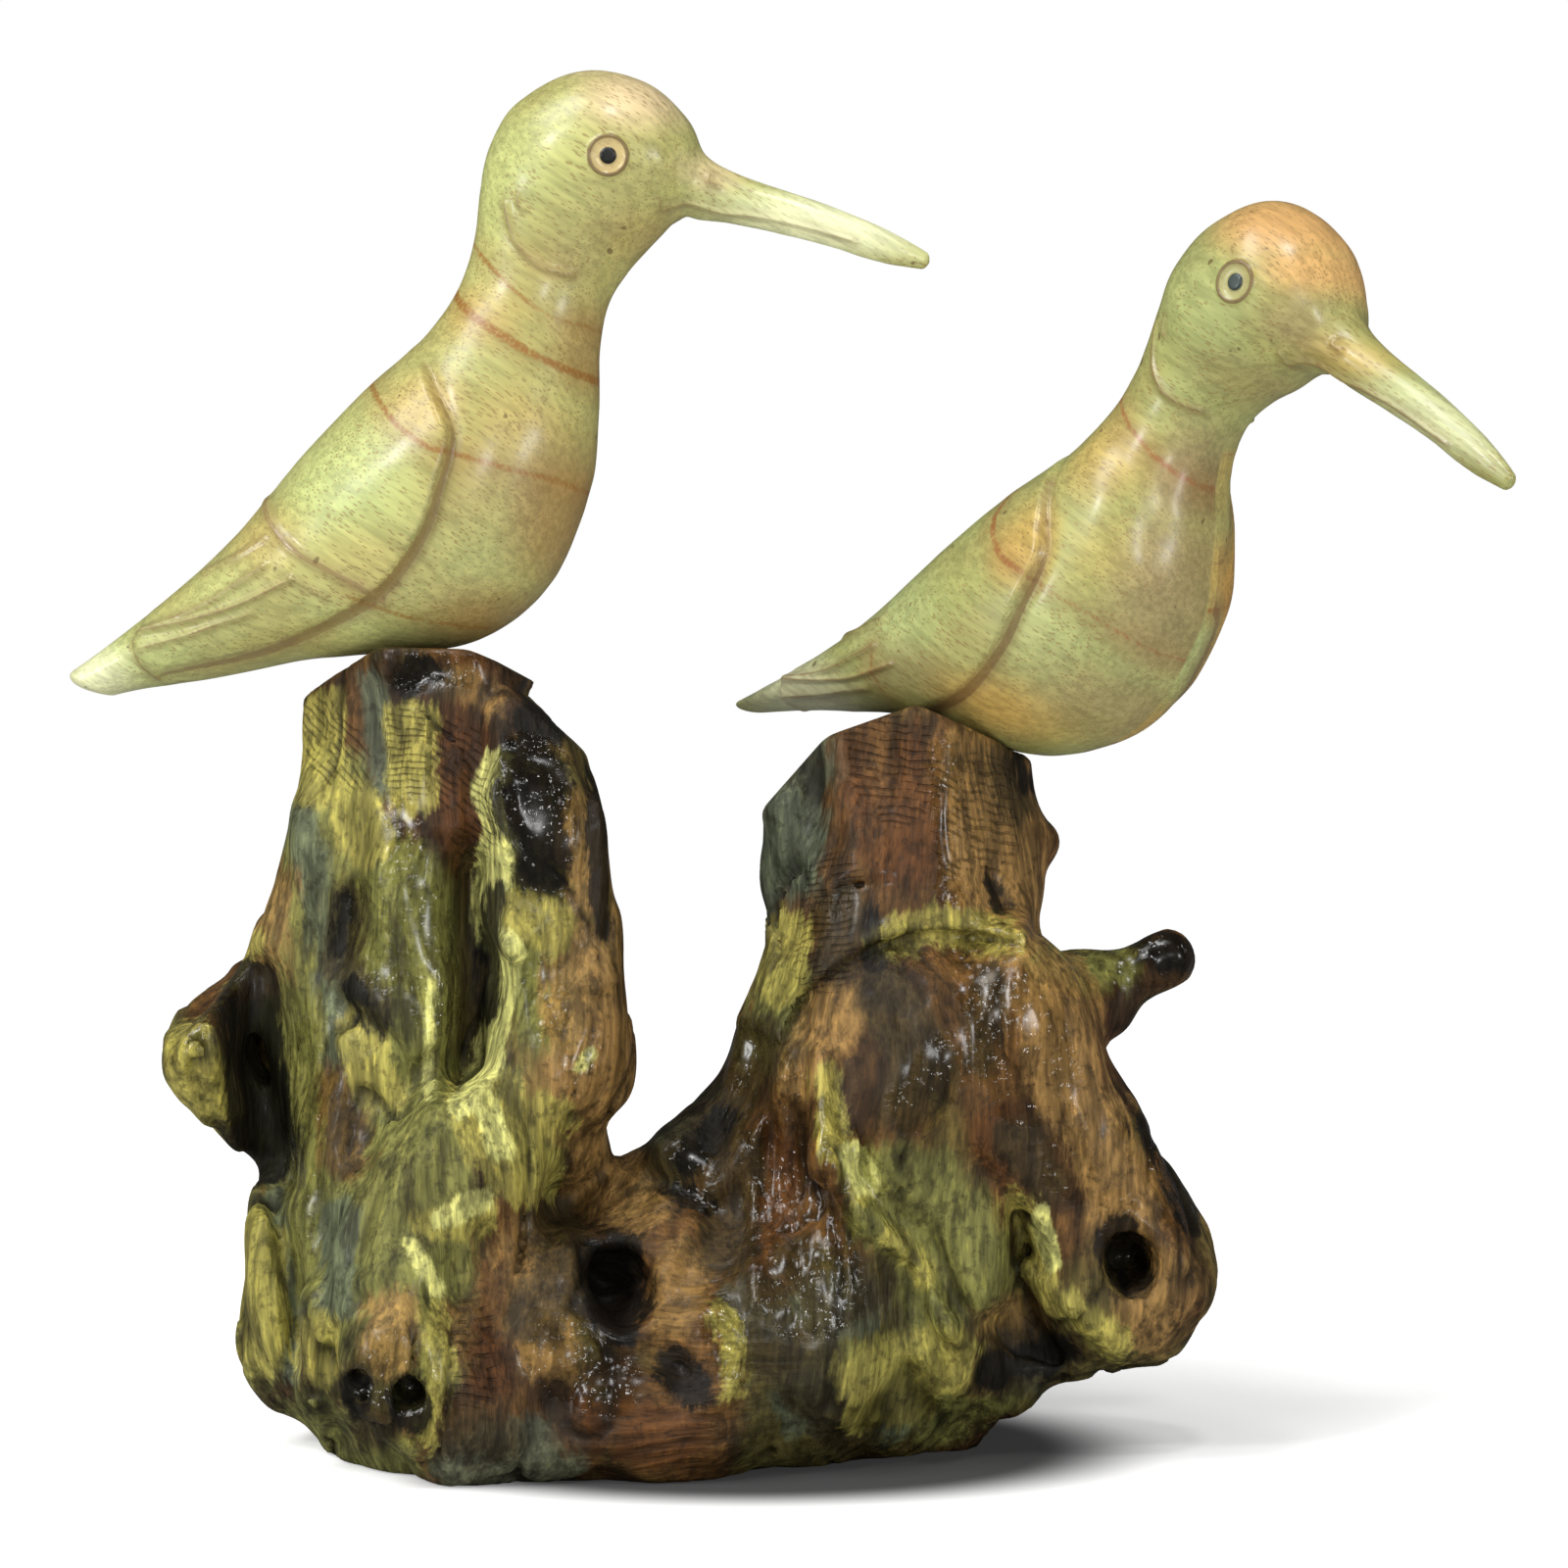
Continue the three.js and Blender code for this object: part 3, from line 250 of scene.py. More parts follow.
# The root, as limbs that taper and melt into each other: end, radius, end, radius, depth along Y
# as a share of the width, the length over which it melts in, the flats it is pared down to,
# each a point and the way it faces, and its ribs: how many, how high, their turn per millimetre.
# Limbs that aren't pared down or ribbed end sooner.
LIMBS = [
    ("left stub", (-54.8, 5, 132), 20.2, (-54.6, 5, 92), 19.8, 1.05, 6,
        [((-62, -11.5, 100), (-0.7, -0.7, 0.05)), ((-55, -14.2, 100), (0.05, -1, 0.08)),
        ((-46, -12, 100), (0.55, -0.83, -0.05))], (7, 0.5, 0.004)),
    ("left trunk", (-54, 5, 92), 19, (-56, 5, 46), 22.5, 1.05, 6,
        [((-56, -14.5, 90), (-0.1, -0.97, 0.2)), ((-74, -6, 70), (-0.9, -0.4, 0.15))],
        (5, 0.9, -0.006)),
    ("left foot", (-56, 4, 34), 23, (-51.5, 0, 14), 23.8, 1.15, 8, [], (6, 1, 0.012)),
    ("bark slab top", (-37, -9, 108), 8.6, (-35.6, -11, 94), 10, 1.1, 2,
        [((-40, -17.5, 104), (-0.1, -0.97, 0.2))]),
    ("bark slab", (-35.2, -11, 95), 10.6, (-33.5, -11, 60), 9.2, 1.1, 2,
        [((-35, -20.4, 80), (0.12, -0.99, 0.04))]),
    ("ear top", (-75, 8, 75), 5.4, (-89, 5, 60.8), 6.2, 2.1, 4,
        [((-92.4, 4, 64.4), (-0.84, -0.35, 0.42))]),
    ("ear lobe", (-89.5, 5, 59.5), 7, (-82.5, 8, 49.5), 5.8, 2.1, 4,
        [((-95.6, 6, 57.5), (-0.94, -0.2, -0.3))]),
    ("ear ridge", (-71, 4, 90), 4.5, (-77, 6, 77), 4.8, 1.6, 4),
    ("ear web", (-72, 15, 78), 8, (-75, 15, 48), 9, 1, 7),
    ("slab foot", (-33.5, -12, 62), 8.4, (-48, -22, 40), 10.5, 1, 8,
        [((-36, -24, 44), (0.62, -0.7, -0.35))]),
    ("slab heel", (-34.5, -8, 62), 7.4, (-35, -5, 47), 8, 1.2, 5),
    ("front ridge", (-50, -22, 42), 10, (-56.5, -30, 20), 9.4, 1, 7,
        [((-48, -30, 26), (0.75, -0.6, -0.25))]),
    ("front knob", (-57, -31, 20), 8.6, (-55, -32, 14), 8.2, 1.05, 2),
    ("yellow lobe", (-69, -20, 22), 5, (-66, -20, 12), 6, 1, 3),
    ("left lobe", (-69.5, 4, 33), 13, (-70, 3, 18), 13, 1.2, 4),
    ("bridge", (-42, -6, 16), 20, (2, -3, 18), 20, 1.35, 8),
    ("front toe", (-45, -25, 9), 12, (-14, -21, 8), 12, 1, 6),
    ("saddle root", (4, 2, 54), 9.2, (-22, 0, 31.6), 10.6, 1.4, 5),
    ("right stub", (15.8, 4, 126), 20, (19, 4, 86), 19.8, 1.05, 6,
        [((8, -13, 95), (-0.85, -0.5, 0.02)), ((16, -14.5, 95), (-0.06, -1, 0.16)),
        ((27, -13.5, 95), (0.66, -0.74, 0.1))], (5, 0.5, 0)),
    ("stub shoulder", (1.2, 2, 97), 4.6, (3.2, 2, 90), 4.4, 1.4, 4),
    ("right trunk", (19, 4, 86), 18.6, (19.5, 3, 60), 22.4, 1.05, 6,
        [((4, -12, 75), (-0.8, -0.6, 0.1))], (7, 0.8, 0.008)),
    ("right body", (20, 2, 54), 25, (15, 5, 20), 25, 1.15, 8, [((6, -26, 40), (-0.5, -0.86, 0.1)),
        ((30, -26, 36), (0.25, -0.95, -0.25))], (8, 1, -0.01)),
    ("shoulder lump", (20, -14, 67), 10, (33, -14, 64), 12, 1, 5,
        [((24, -25, 62), (-0.15, -0.98, 0.15))]),
    ("lump crest", (33, -14, 66), 10.5, (42, -12, 48), 11.5, 1, 6),
    ("horn root", (36, 2, 62), 13.6, (45.5, 1, 68.5), 7.4, 1, 7),
    ("horn", (45.5, 1, 68.7), 7, (59.2, 0, 74.4), 2.7, 1, 3,
        [((50, -4, 72), (-0.1, -0.97, 0.25))]),
    ("spur", (33, 6, 93), 6.5, (40.4, 6, 92.2), 1.4, 1.5, 4),
    ("burl", (42, -6, 45), 12.6, (50.9, -8, 27.8), 14.8, 1, 5.5,
        [((46, -22.5, 34), (0.1, -0.99, 0.05)), ((60, -12, 38), (0.8, -0.4, 0.45))]),
    ("burl heel", (35, -6, 14), 7, (46, -8, 18.5), 4.5, 1, 4),
    ("upper vein", (6.5, -19, 62), 2.8, (8.5, -27.5, 46), 3, 1, 2.5),
    ("lower vein", (8.5, -27.5, 46), 3, (23, -25, 22), 1.6, 1, 2.5),
    ("back root", (-44, 18, 52), 10, (-52, 30, 8), 14, 1, 10,
        [((-48, 38, 30), (0.2, 0.96, 0.2))]),
    ("back spur", (-60, 20, 70), 5, (-68, 26, 20), 9, 1, 8),
    ("back bridge", (-30, 20, 12), 14, (6, 24, 14), 14, 1.1, 10),
    ("back knee", (22, 14, 60), 14, (26, 30, 12), 14, 1, 10,
        [((24, 33, 40), (-0.15, 0.96, 0.3))]),
    ("back limb", (6, 16, 46), 8, (-4, 34, 14), 9, 1, 8),
]

# Hollows worn into the root, in the same terms
HOLLOWS = [
    ("slab groove", (-48, -19, 92), 3.6, (-46, -21, 60), 4.2, 1.7, 3),
    ("ear slit", (-81, -10, 72), 3, (-79, -12, 44), 3.6, 4, 3),
    ("black hollow", (-65, -19, 80), 4.5, (-62, -20.5, 66), 4.6, 1, 2.5),
    ("lobe crease", (-76.5, -14, 46), 2, (-73, -17, 20), 2, 3, 3),
    ("bridge hole", (-24.5, -38, 32), 5.6, (-25.5, -18, 27), 5, 1, 3),
    ("bridge hole foot", (-24.5, -36, 27), 4, (-25, -22, 24), 3.4, 1, 3),
    ("saddle hollow", (-17, -29, 43), 4, (-8, -27, 55), 5, 1, 4),
    ("flute", (-3, -37, 52), 10, (3, -39, 30), 10, 1, 4),
    ("olive dish", (24, -46, 44), 20, (22, -46, 30), 20, 1, 3),
    ("burl hole", (52, -28, 31.5), 4.4, (50.5, -12, 30), 3.8, 1.6, 2),
    ("knob pit", (-60.8, -43, 15), 2.4, (-60, -36, 15.5), 2.2, 1, 1.5),
    ("knob hole", (-52.8, -43, 14), 2.8, (-53.5, -36, 14.5), 2.4, 1, 1),
]

# Saw and chisel cuts: a point on the cut, the way it faces, and the size of the block cut off
TOP_CUTS = [
    ("left top", (-54, 4, 121.4), (0.03, 0, 1), 60),
    ("left top bevel", (-67, 4, 118.4), (-0.48, 0, 0.88), 40),
    ("left top fall", (-38, 4, 116.4), (0.47, 0, 0.88), 40),
    ("slab top fall", (-32.8, -12, 115), (0.83, 0, 0.56), 30),
    ("right top", (27, 4, 109.8), (0.4, 0, 0.92), 60),
    ("right top fall", (14, 4, 110.9), (-0.33, 0, 0.94), 50),
    ("right top bevel", (2.5, 4, 103.8), (-0.75, 0, 0.66), 40),
]

# Ridges, grooves and ledges on the front, drawn as they are seen from before the root: width,
# height, the reach of a ledge that rises on the right of the way it is drawn, and the line
FRONT_FORMS = [
    ("trunk's left ridge", 2.2, 0.9, None, [(-75, 96.5), (-72.3, 86), (-69.8, 74), (-68.2, 62)]),
    ("trunk's middle ridge", 2, 1.2, None, [(-50.7, 93.5), (-51.8, 77), (-52.5, 62),
        (-54, 48.5)]),
    ("crest to the knob", 2.5, 1.3, None, [(-46.8, 55), (-51.8, 48.5), (-55.5, 43.2),
        (-59.2, 38.8), (-62, 33.5), (-64.2, 26)]),
    ("slab's crest", 2.2, 1.5, None, [(-42.8, 75.2), (-43.8, 65.8), (-45, 59), (-46.8, 54.5)]),
    ("right stub's left edge", 1.5, 0.9, None, [(9.2, 108.5), (7.5, 98), (5.2, 89), (2.7, 80.8),
        (1.8, 72.5)]),
    ("right stub's right edge", 1.6, 0.8, None, [(24.9, 107.3), (24.2, 94.6), (24.9, 86.3),
        (26.2, 82.2)]),
    ("lump's crest", 4, 1.2, None, [(36.8, 74.8), (36, 63.5), (33, 54.5), (31.5, 47)]),
    ("vein", 2.2, 1.7, None, [(5.5, 59), (6, 45.8), (9.2, 38), (13.3, 33.8), (19.2, 29.6),
        (23.4, 22.2), (26.2, 15.5)]),
    ("burl's lower rim", 2.2, 1.3, None, [(37.5, 26.5), (42.8, 21.5), (48, 16.7), (51.2, 14.3)]),
    ("burl's rib", 2, 0.7, None, [(43.5, 51.5), (48, 44), (50.2, 36.5)]),
    ("crescent", 1.6, 1.1, None, [(-11.7, 20.6), (-8.2, 18.2), (-7.2, 13.2), (-7.8, 8.8),
        (-10.5, 6.5)]),
    ("hole's rim", 1.8, 0.9, None, [(-32.9, 31.7), (-31.8, 24.5), (-28.2, 18.2), (-24, 16),
        (-19.8, 19.2)]),
    ("saddle's ridge", 2.5, 1.1, None, [(-18, 46.2), (-15, 48.5), (-10.5, 54.5), (-6, 63.5),
        (-2.2, 72.5)]),
    ("slope's ridge", 2, 1.3, None, [(0.9, 59.8), (-2.2, 51.5), (-9, 41), (-14.2, 32.8),
        (-18.8, 26)]),
    ("flute", 1.2, 0.6, None, [(-3.8, 48.5), (-4.8, 35), (-4.2, 21.5)]),
    ("flute", 1.2, 0.6, None, [(0, 50), (-0.3, 35), (0.6, 20)]),
    ("flute", 1.2, 0.6, None, [(3.8, 51.5), (3.9, 35), (4.8, 18.5)]),
    ("deep groove", 4.2, -3.0, None, [(-47, 86.8), (-48, 78.5), (-46.5, 71), (-47.2, 63.5),
        (-48.8, 57.5)]),
    ("slab's crack", 1, -0.9, None, [(-30.3, 109.2), (-30, 93.5), (-30.3, 77)]),
    ("slab's crack", 0.9, -0.6, None, [(-35.2, 85.2), (-35.1, 73.2), (-34.5, 62)]),
    ("slab's crack", 1.2, -0.7, None, [(-26.7, 101), (-26.1, 86), (-27.3, 77)]),
    ("left stub's valley", 2, -0.9, None, [(-62.6, 116), (-62.2, 107), (-60.8, 99.2)]),
    ("black hollow", 3.2, -2.2, None, [(-67.2, 83), (-67.5, 74), (-66.6, 66.5)]),
    ("ear's slit", 3.2, -3, None, [(-80.1, 71), (-79.5, 59), (-78, 48.5), (-77.2, 41)]),
    ("lobe's crease", 1.6, -1.5, None, [(-78.5, 38.9), (-76.5, 27.5), (-75, 18.5), (-75, 12.5)]),
    ("knob's crease", 1.6, -1.4, None, [(-64.8, 21.7), (-69, 15.5), (-70.1, 8), (-67.5, 0.5)]),
    ("trunk's groove", 2.2, -1.2, None, [(-57, 56), (-59.2, 44), (-62.2, 36.5), (-65.2, 27.5)]),
    ("vein's foot", 1.5, -0.8, None, [(7.8, 57.5), (9.3, 46.2), (12.8, 39.2), (17.2, 35),
        (22.5, 29.8), (26.2, 21.5)]),
    ("dish's crease", 2, -0.8, None, [(30, 42.5), (35.2, 35), (38.2, 27.5)]),
    ("burl's crease", 2, -1, None, [(31.5, 18.5), (36, 15.5), (42, 13.2)]),
    ("slope's hollow", 2.2, -2, None, [(-19.2, 40.2), (-15, 38.8), (-11.7, 36.2)]),
    ("toe's crease", 2.5, -1.2, None, [(-36, 5), (-30, 11), (-24, 12.5), (-16.5, 11)]),
    ("crescent's pit", 3.5, -1.6, None, [(-16.5, 14), (-14.2, 10.2), (-16.2, 7.2)]),
    ("top pit", 2.4, -1.8, None, [(-57.3, 116.3), (-54.6, 117.8)]),
    ("scar", 0.9, -0.7, None, [(31.5, 87.5), (33.8, 82.2)]),
    ("slab's edge", 1.2, 3.0, 12, [(-42.8, 74.8), (-45.3, 77.8), (-46.8, 82.2), (-45.5, 87.5),
        (-44.2, 93.5), (-46.2, 99.5), (-44.2, 104)]),
    ("lump's collar", 0.7, 2.2, 12, [(36, 77), (30, 78.2), (22.5, 78.5), (14.2, 76.8),
        (7.5, 72.5), (2.8, 68.6), (-0.3, 62.3)]),
    ("ledge", 0.8, 1.5, 8, [(-57.3, 59.3), (-60.8, 63.5), (-64.5, 66.5), (-68.2, 69.5)]),
    ("bark's ledge", 0.6, 0.9, 8, [(-25.5, 70.7), (-28.5, 68.6), (-31.5, 69.2)]),
    ("rasped ledge", 0.8, 0.8, 6, [(15.8, 86.5), (11.2, 86.5), (6.8, 84.5)]),
]

# Forms on the back, drawn flat in the same way
BACK_FORMS = [
    ("back ridge", 2.6, 1.6, None, [(-70, 104), (-66, 80), (-60, 56), (-52, 30)]),
    ("back ridge", 2.2, 1.3, None, [(-46, 108), (-44, 84), (-48, 60)]),
    ("back groove", 2.4, -2.2, None, [(-58, 98), (-55, 70), (-58, 44), (-66, 20)]),
    ("back groove", 2.0, -1.6, None, [(-34, 96), (-36, 70), (-40, 52)]),
    ("back ridge", 2.4, 1.4, None, [(4, 96), (2, 70), (-4, 46), (-14, 24)]),
    ("back groove", 2.6, -2.2, None, [(18, 100), (17, 76), (12, 50), (10, 22)]),
    ("back ridge", 2.2, 1.3, None, [(28, 98), (30, 74), (34, 52), (38, 26)]),
    ("back groove", 2.2, -1.8, None, [(44, 58), (46, 40), (40, 18)]),
    ("back knot", 4.0, 1.8, None, [(-22, 22), (-14, 18)]),
    ("back pit", 3.2, -2.4, None, [(-30, 30), (-24, 33)]),
]

# Colours on the front, drawn in the same way: half width and line
PATCHES = {
    "olive": [
        (9, [(-75, 90.5), (-73.5, 71), (-73.5, 48.5), (-70.5, 26)]),
        (7, [(-58.5, 86), (-55.5, 48.5)]), (5, [(-80.2, 35), (-80.7, 14)]),
        (5, [(-72, 3.5), (-60, -2.5)]), (6, [(-60, 26), (-61.5, 14)]),
        (10, [(19.5, 36.5), (27, 26)]), (12, [(-60, 78), (-59, 48), (-60, 16)]),
        (5, [(-40, 52), (-38, 44)]), (6, [(12, 8), (28, 12)]), (8, [(27, 18.5), (22.5, 8)]),
        (6, [(-69, 101), (-66, 92)]), (5, [(0, 69.5), (-3, 62)]), (6, [(9, 11), (30, 9.5)]),
        (5, [(-38.2, 72.5), (-36, 63.5)]), (4, [(40.5, 74), (51, 74)]),
    ],
    # Grey green: weathered wood, and in part a painted sheen, as on the trunk's left ridge and the
    # saddle's top
    "grey": [
        (2.2, [(-63.3, 116), (-61.2, 101)]),
        (2.6, [(-75, 101), (-71.7, 86), (-68.7, 71), (-67.5, 59)]), (4, [(6, 105), (0, 99)]),
        (5, [(1.5, 96), (-0.5, 82)]), (3, [(-68.2, 35), (-68.2, 21.5)]),
        (1.6, [(-78.5, 38.9), (-75.6, 21.5), (-75, 11)]), (6, [(-48, -4), (-36, -1)]),
        (3, [(-24, 47), (-16.5, 48.5), (-12, 54.5)]), (5, [(-4.5, 21.5), (10.5, 20.8)]),
        (5, [(3, 6.5), (15, 5)]), (2, [(36, 11.8), (39, 9.5)]),
    ],
    "mustard": [
        (4, [(-91, 61), (-86, 52)]), (4, [(-80, 30), (-80.5, 14)]), (6, [(14, 10), (24, 13)]),
        (6, [(-46, 52), (-40, 42)]), (4, [(-64.5, 63.5), (-61.8, 54.5)]),
        (3, [(-54, 33.5), (-46.5, 35)]), (4, [(-57.3, 110), (-57, 99.5)]),
        (4, [(-70.5, 111.5), (-72, 101)]), (3.2, [(-71.2, 17), (-71.2, 11.8)]),
        (2.6, [(-80.7, 34.2), (-81.3, 29.8)]), (1.8, [(-54, 20), (-52.5, 11), (-54.8, 0.5)]),
        (3.2, [(15.8, 77.3), (24, 79.4), (33, 77.8)]), (3.6, [(0.5, 78), (0, 70)]),
        (4, [(-42, 47), (-36, 50)]), (4, [(-66, 98), (-64, 92)]), (3, [(12, 4), (20, 7)]),
        (2.2, [(6.8, 56), (7.5, 45.5), (12, 38.8)]), (1.8, [(16.5, 31.7), (21, 26)]),
        (2.6, [(37.8, 26), (43.5, 20.8), (51, 15.2)]),
        (1.8, [(-9.8, 19.2), (-7.5, 15.5), (-8.2, 8)]), (4.4, [(-42, 82.2), (-36, 79.2)]),
        (4, [(-93, 55.2), (-87.8, 50.8)]), (2, [(-80.7, 77), (-85.5, 71)]),
        (2.5, [(36, 36.5), (39, 27.5)]),
    ],
    "tan": [
        (3.5, [(-31.2, 96.5), (-30, 83)]), (2.4, [(-25.5, 90.5), (-25.2, 71)]),
        (7, [(-30, 74), (-28.5, 56)]), (6, [(-34.5, 51.5), (-30, 60.5)]),
        (7.5, [(31, 104), (32.5, 90), (34, 80)]), (5, [(-22, 37), (-28, 45)]),
        (5, [(-39, 30.5), (-36, 14)]), (4, [(-30, 38.8), (-24, 36.5)]),
        (5, [(7.5, 66.5), (3, 57.5)]), (6, [(48, 48.5), (52.5, 36.5)]),
        (5, [(57.8, 26), (55.5, 18.5)]), (6, [(41.2, 69.5), (43.5, 56)]),
        (5, [(30, 12.5), (36, 18.5)]), (4.5, [(-60, 19.2), (-60.8, 13.2)]),
        (4, [(-78.8, 85.2), (-80.7, 71)]), (2, [(-49.5, 117.5), (-45, 113)]),
        (4, [(-15, 27.5), (-16.5, 20)]),
    ],
    "rust": [
        (4.5, [(-31.5, 2.8), (-16.5, 1.2)]), (5, [(-49.5, 107), (-48, 92)]),
        (2.5, [(46.5, 65), (48.8, 59)]), (7, [(14, 106), (18, 92)]), (4, [(3, 80), (7.5, 77)]),
        (5, [(-3, 44), (-1.5, 26)]), (4, [(-49.5, 18.5), (-45, 11)]),
        (4, [(-52.5, 116.8), (-48.8, 117.5)]), (4, [(-67.5, 54.5), (-67.2, 44)]),
        (5, [(33, 47), (39, 41)]),
    ],
    "pale": [
        (2, [(-46, 53), (-43, 45)]),
        (2.3, [(-44, 104.3), (-45.5, 99.5), (-43.8, 93.5), (-45, 87.5), (-46, 82.2), (-45, 77.8),
            (-41.7, 75.5)]),
        (2.2, [(-42.8, 74), (-43.8, 65.8), (-45.3, 58.2), (-49.5, 51.5)]),
        (0.8, [(-54, 71), (-54.5, 53)]), (1.9, [(-52.5, 34.6), (-46.5, 37.2)]),
        (1.6, [(39.3, 35), (41.2, 28.2)]), (0.8, [(-31.5, 57.5), (-30, 59.8)]),
        (2, [(10.2, 44), (12.9, 39.8)]), (1.2, [(-57, 30.5), (-55.5, 27.5), (-53.2, 23.8)]),
        (1.4, [(-42, 92), (-42.8, 86)]),
    ],
    # Umber: dark wood, and in part painted shade in the hollows and grooves, along the ledge's
    # shadow, under the burl and near the floor
    "umber_and_shade": [
        (6, [(-4, 21), (3, 12), (10, 4)]), (5, [(16, 68), (22, 58), (19, 52)]),
        (4, [(9, 82), (8, 74)]), (3.4, [(-67, 83), (-68, 74), (-63, 66)]),
        (4, [(-53, 2), (-44, 1)]), (4.5, [(-4, 62), (-10, 50), (-17, 43)]),
        (5, [(-36, 34), (-32, 26), (-38, 20)]), (4, [(-46, 88), (-46.5, 76), (-47, 62)]),
        (5, [(30, 12), (40, 13)]), (3, [(31.5, 70), (30, 59)]), (4, [(36, 46), (40, 40)]),
        (4, [(-62, 3), (-66, 10)]), (5, [(-8, 44), (-9, 30)]), (4, [(9, 21), (14, 26)]),
        (3, [(-57, 118), (-52, 117)]), (3, [(33, 104), (36, 98)]), (4, [(2, 28), (6, 20)]),
    ],
    # Black: the tarry face is the wood's own black; in the pits, holes and cracks, the ear's slit,
    # along the ledge's shadow and under the burl it is painted shade
    "black": [
        (4.4, [(-39.5, 104.5), (-36.5, 102), (-38.5, 95), (-36.8, 88)]),
        (2, [(-43.5, 100), (-42.5, 94)]), (1.8, [(-28.5, 102.5), (-28.2, 78.5)]),
        (1.8, [(-44.5, 84), (-45, 76), (-45.5, 66)]), (1.8, [(-67.2, 83), (-68, 76)]),
        (1.8, [(-66, 70), (-61, 64)]), (5, [(-81.4, 69.5), (-81.4, 59), (-79.2, 44)]),
        (2.6, [(-65.6, 8.6), (-65, 6.6)]), (3.4, [(-58, 7.6), (-57, 4.6)]),
        (5, [(-26.2, 27.5), (-25.8, 20)]), (2.2, [(-16.5, 38.8), (-12.8, 36.5)]),
        (3.6, [(51, 32), (53.2, 26)]), (1.9, [(54.8, 48.5), (59.2, 42.5), (62.2, 34.2)]),
        (3.4, [(57, 75.5), (60.8, 74.5)]), (2.4, [(-57.8, 116.5), (-54.3, 118.1)]),
        (1.6, [(36, 104.8), (37.2, 101)]), (3, [(-33.5, 113), (-31, 110)]),
        (3, [(-39, 111), (-36, 109)]), (3.4, [(-16.5, 11.8), (-13.8, 8.8)]),
        (2.4, [(-10, 50), (-15, 43)]), (2.6, [(31, 11), (42, 14)]),
        (1.6, [(13.5, 81), (14.5, 74)]), (1.4, [(31.5, 86), (33, 82)]),
    ],
}

# Where the varnish lies thick and glints, in the same terms
WET = [
    (5.5, [(-39, 104), (-37, 96), (-37.5, 88)]), (2.8, [(-57, 118), (-48.5, 118.5)]),
    (2.4, [(-73, 62), (-73, 45), (-73.5, 30)]), (2.8, [(-58.5, 96.5), (-57.5, 86)]),
    (3.6, [(-55.5, 82), (-53, 66)]), (6.5, [(-60, 10), (-57, 6)]), (3, [(-31, 60), (-31, 56)]),
    (3, [(-37, 72), (-36, 64)]), (6, [(-34, 14), (-28, 10)]), (8.5, [(1, 46), (4, 24)]),
    (2.5, [(11, 44), (13, 39)]), (7.5, [(33, 74), (36, 62), (38, 56)]), (4, [(47, 72), (60, 75)]),
    (3.5, [(55, 48), (62, 36)]), (3.4, [(43, 45), (44, 40)]), (3, [(51, 36), (54, 30)]),
    (2, [(24.5, 106), (25.5, 84)]), (3, [(-10, 20), (-8, 12)]), (4.5, [(-6, 60), (-1, 54)]),
    (3, [(-15, 44), (-12, 38)]), (3, [(-64, 84), (-62, 72)]), (4, [(26, 60), (20, 52)]),
    (2.5, [(-85, 74), (-92, 60)]),
]

# Rasped wood: the slant of its marks in degrees, their spacing, the half width and the line
RASPED = [
    (48, 1.05, 4.6, [(-71.2, 110), (-67.5, 104)]),
    (4, 1, 3.4, [(-57.6, 110), (-57.3, 101.8)]),
    (38, 1.15, 4.4, [(-50.7, 107), (-47.7, 93.5)]),
    (8, 1.25, 7, [(15.8, 107.8), (17.2, 101)]),
    (30, 1.2, 4, [(24.8, 101), (26.2, 90.5)]),
    (-8, 1.05, 4.6, [(7.5, 86), (5.7, 73.2)]),
    (2, 1.7, 3.6, [(-48, 19.2), (-47.4, 8.8)]),
    (12, 1.4, 5, [(30, 101), (31.5, 92)]),
]

# The root's box, how far past a colour's edge its distance is still told, and how much further
# the front's colours are on the back
ROOT_LOW, ROOT_HIGH = (-98.0, -48.0, -4.0), (70.0, 52.0, 126.0)
FAR = 12.0
BEHIND = 14.0

# The root's weathering: how high its swellings, its fibres, the fine ridges and the dips are,
# how wide a fibre is, how far apart its cracks lie, how wide and how deep they are
BROAD_SWELL, CLOSE_SWELL = 1.1, 0.8
FIBRE_HEIGHT, FINE_HEIGHT, DIP_HEIGHT = 0.55, 0.22, 0.6
FIBRE_WIDTH = 4.6
STRAND_WIDTH = 7
FISSURE_SHARE = 0.075
FISSURE_DEPTH = 0.9

# Numbers and curves


def smooth_step(low, high, value):
    """From 0 to 1 with soft ends."""
    share = np.clip((value - low) / (high - low), 0.0, 1.0)
    return share * share * (3.0 - 2.0 * share)


def melt(a, b, length):
    """The smaller of two distances, rounded where they meet."""
    share = np.maximum(length - np.abs(a - b), 0.0) / length
    return np.minimum(a, b) - share * share * length / 4.0


def curve_through(points, steps=5):
    """A smooth line through points, as a row of short pieces."""
    points = np.array(points, float)
    padded = np.vstack([2 * points[0] - points[1], points, 2 * points[-1] - points[-2]])
    line = [points[0]]
    for a, b, c, d in zip(padded, padded[1:], padded[2:], padded[3:]):
        for t in np.linspace(0, 1, steps + 1)[1:]:
            bend = (2 * a - 5 * b + 4 * c - d) * t**2 + (3 * b - a - 3 * c + d) * t**3
            line.append(0.5 * (2 * b + (c - a) * t + bend))
    return np.array(line)


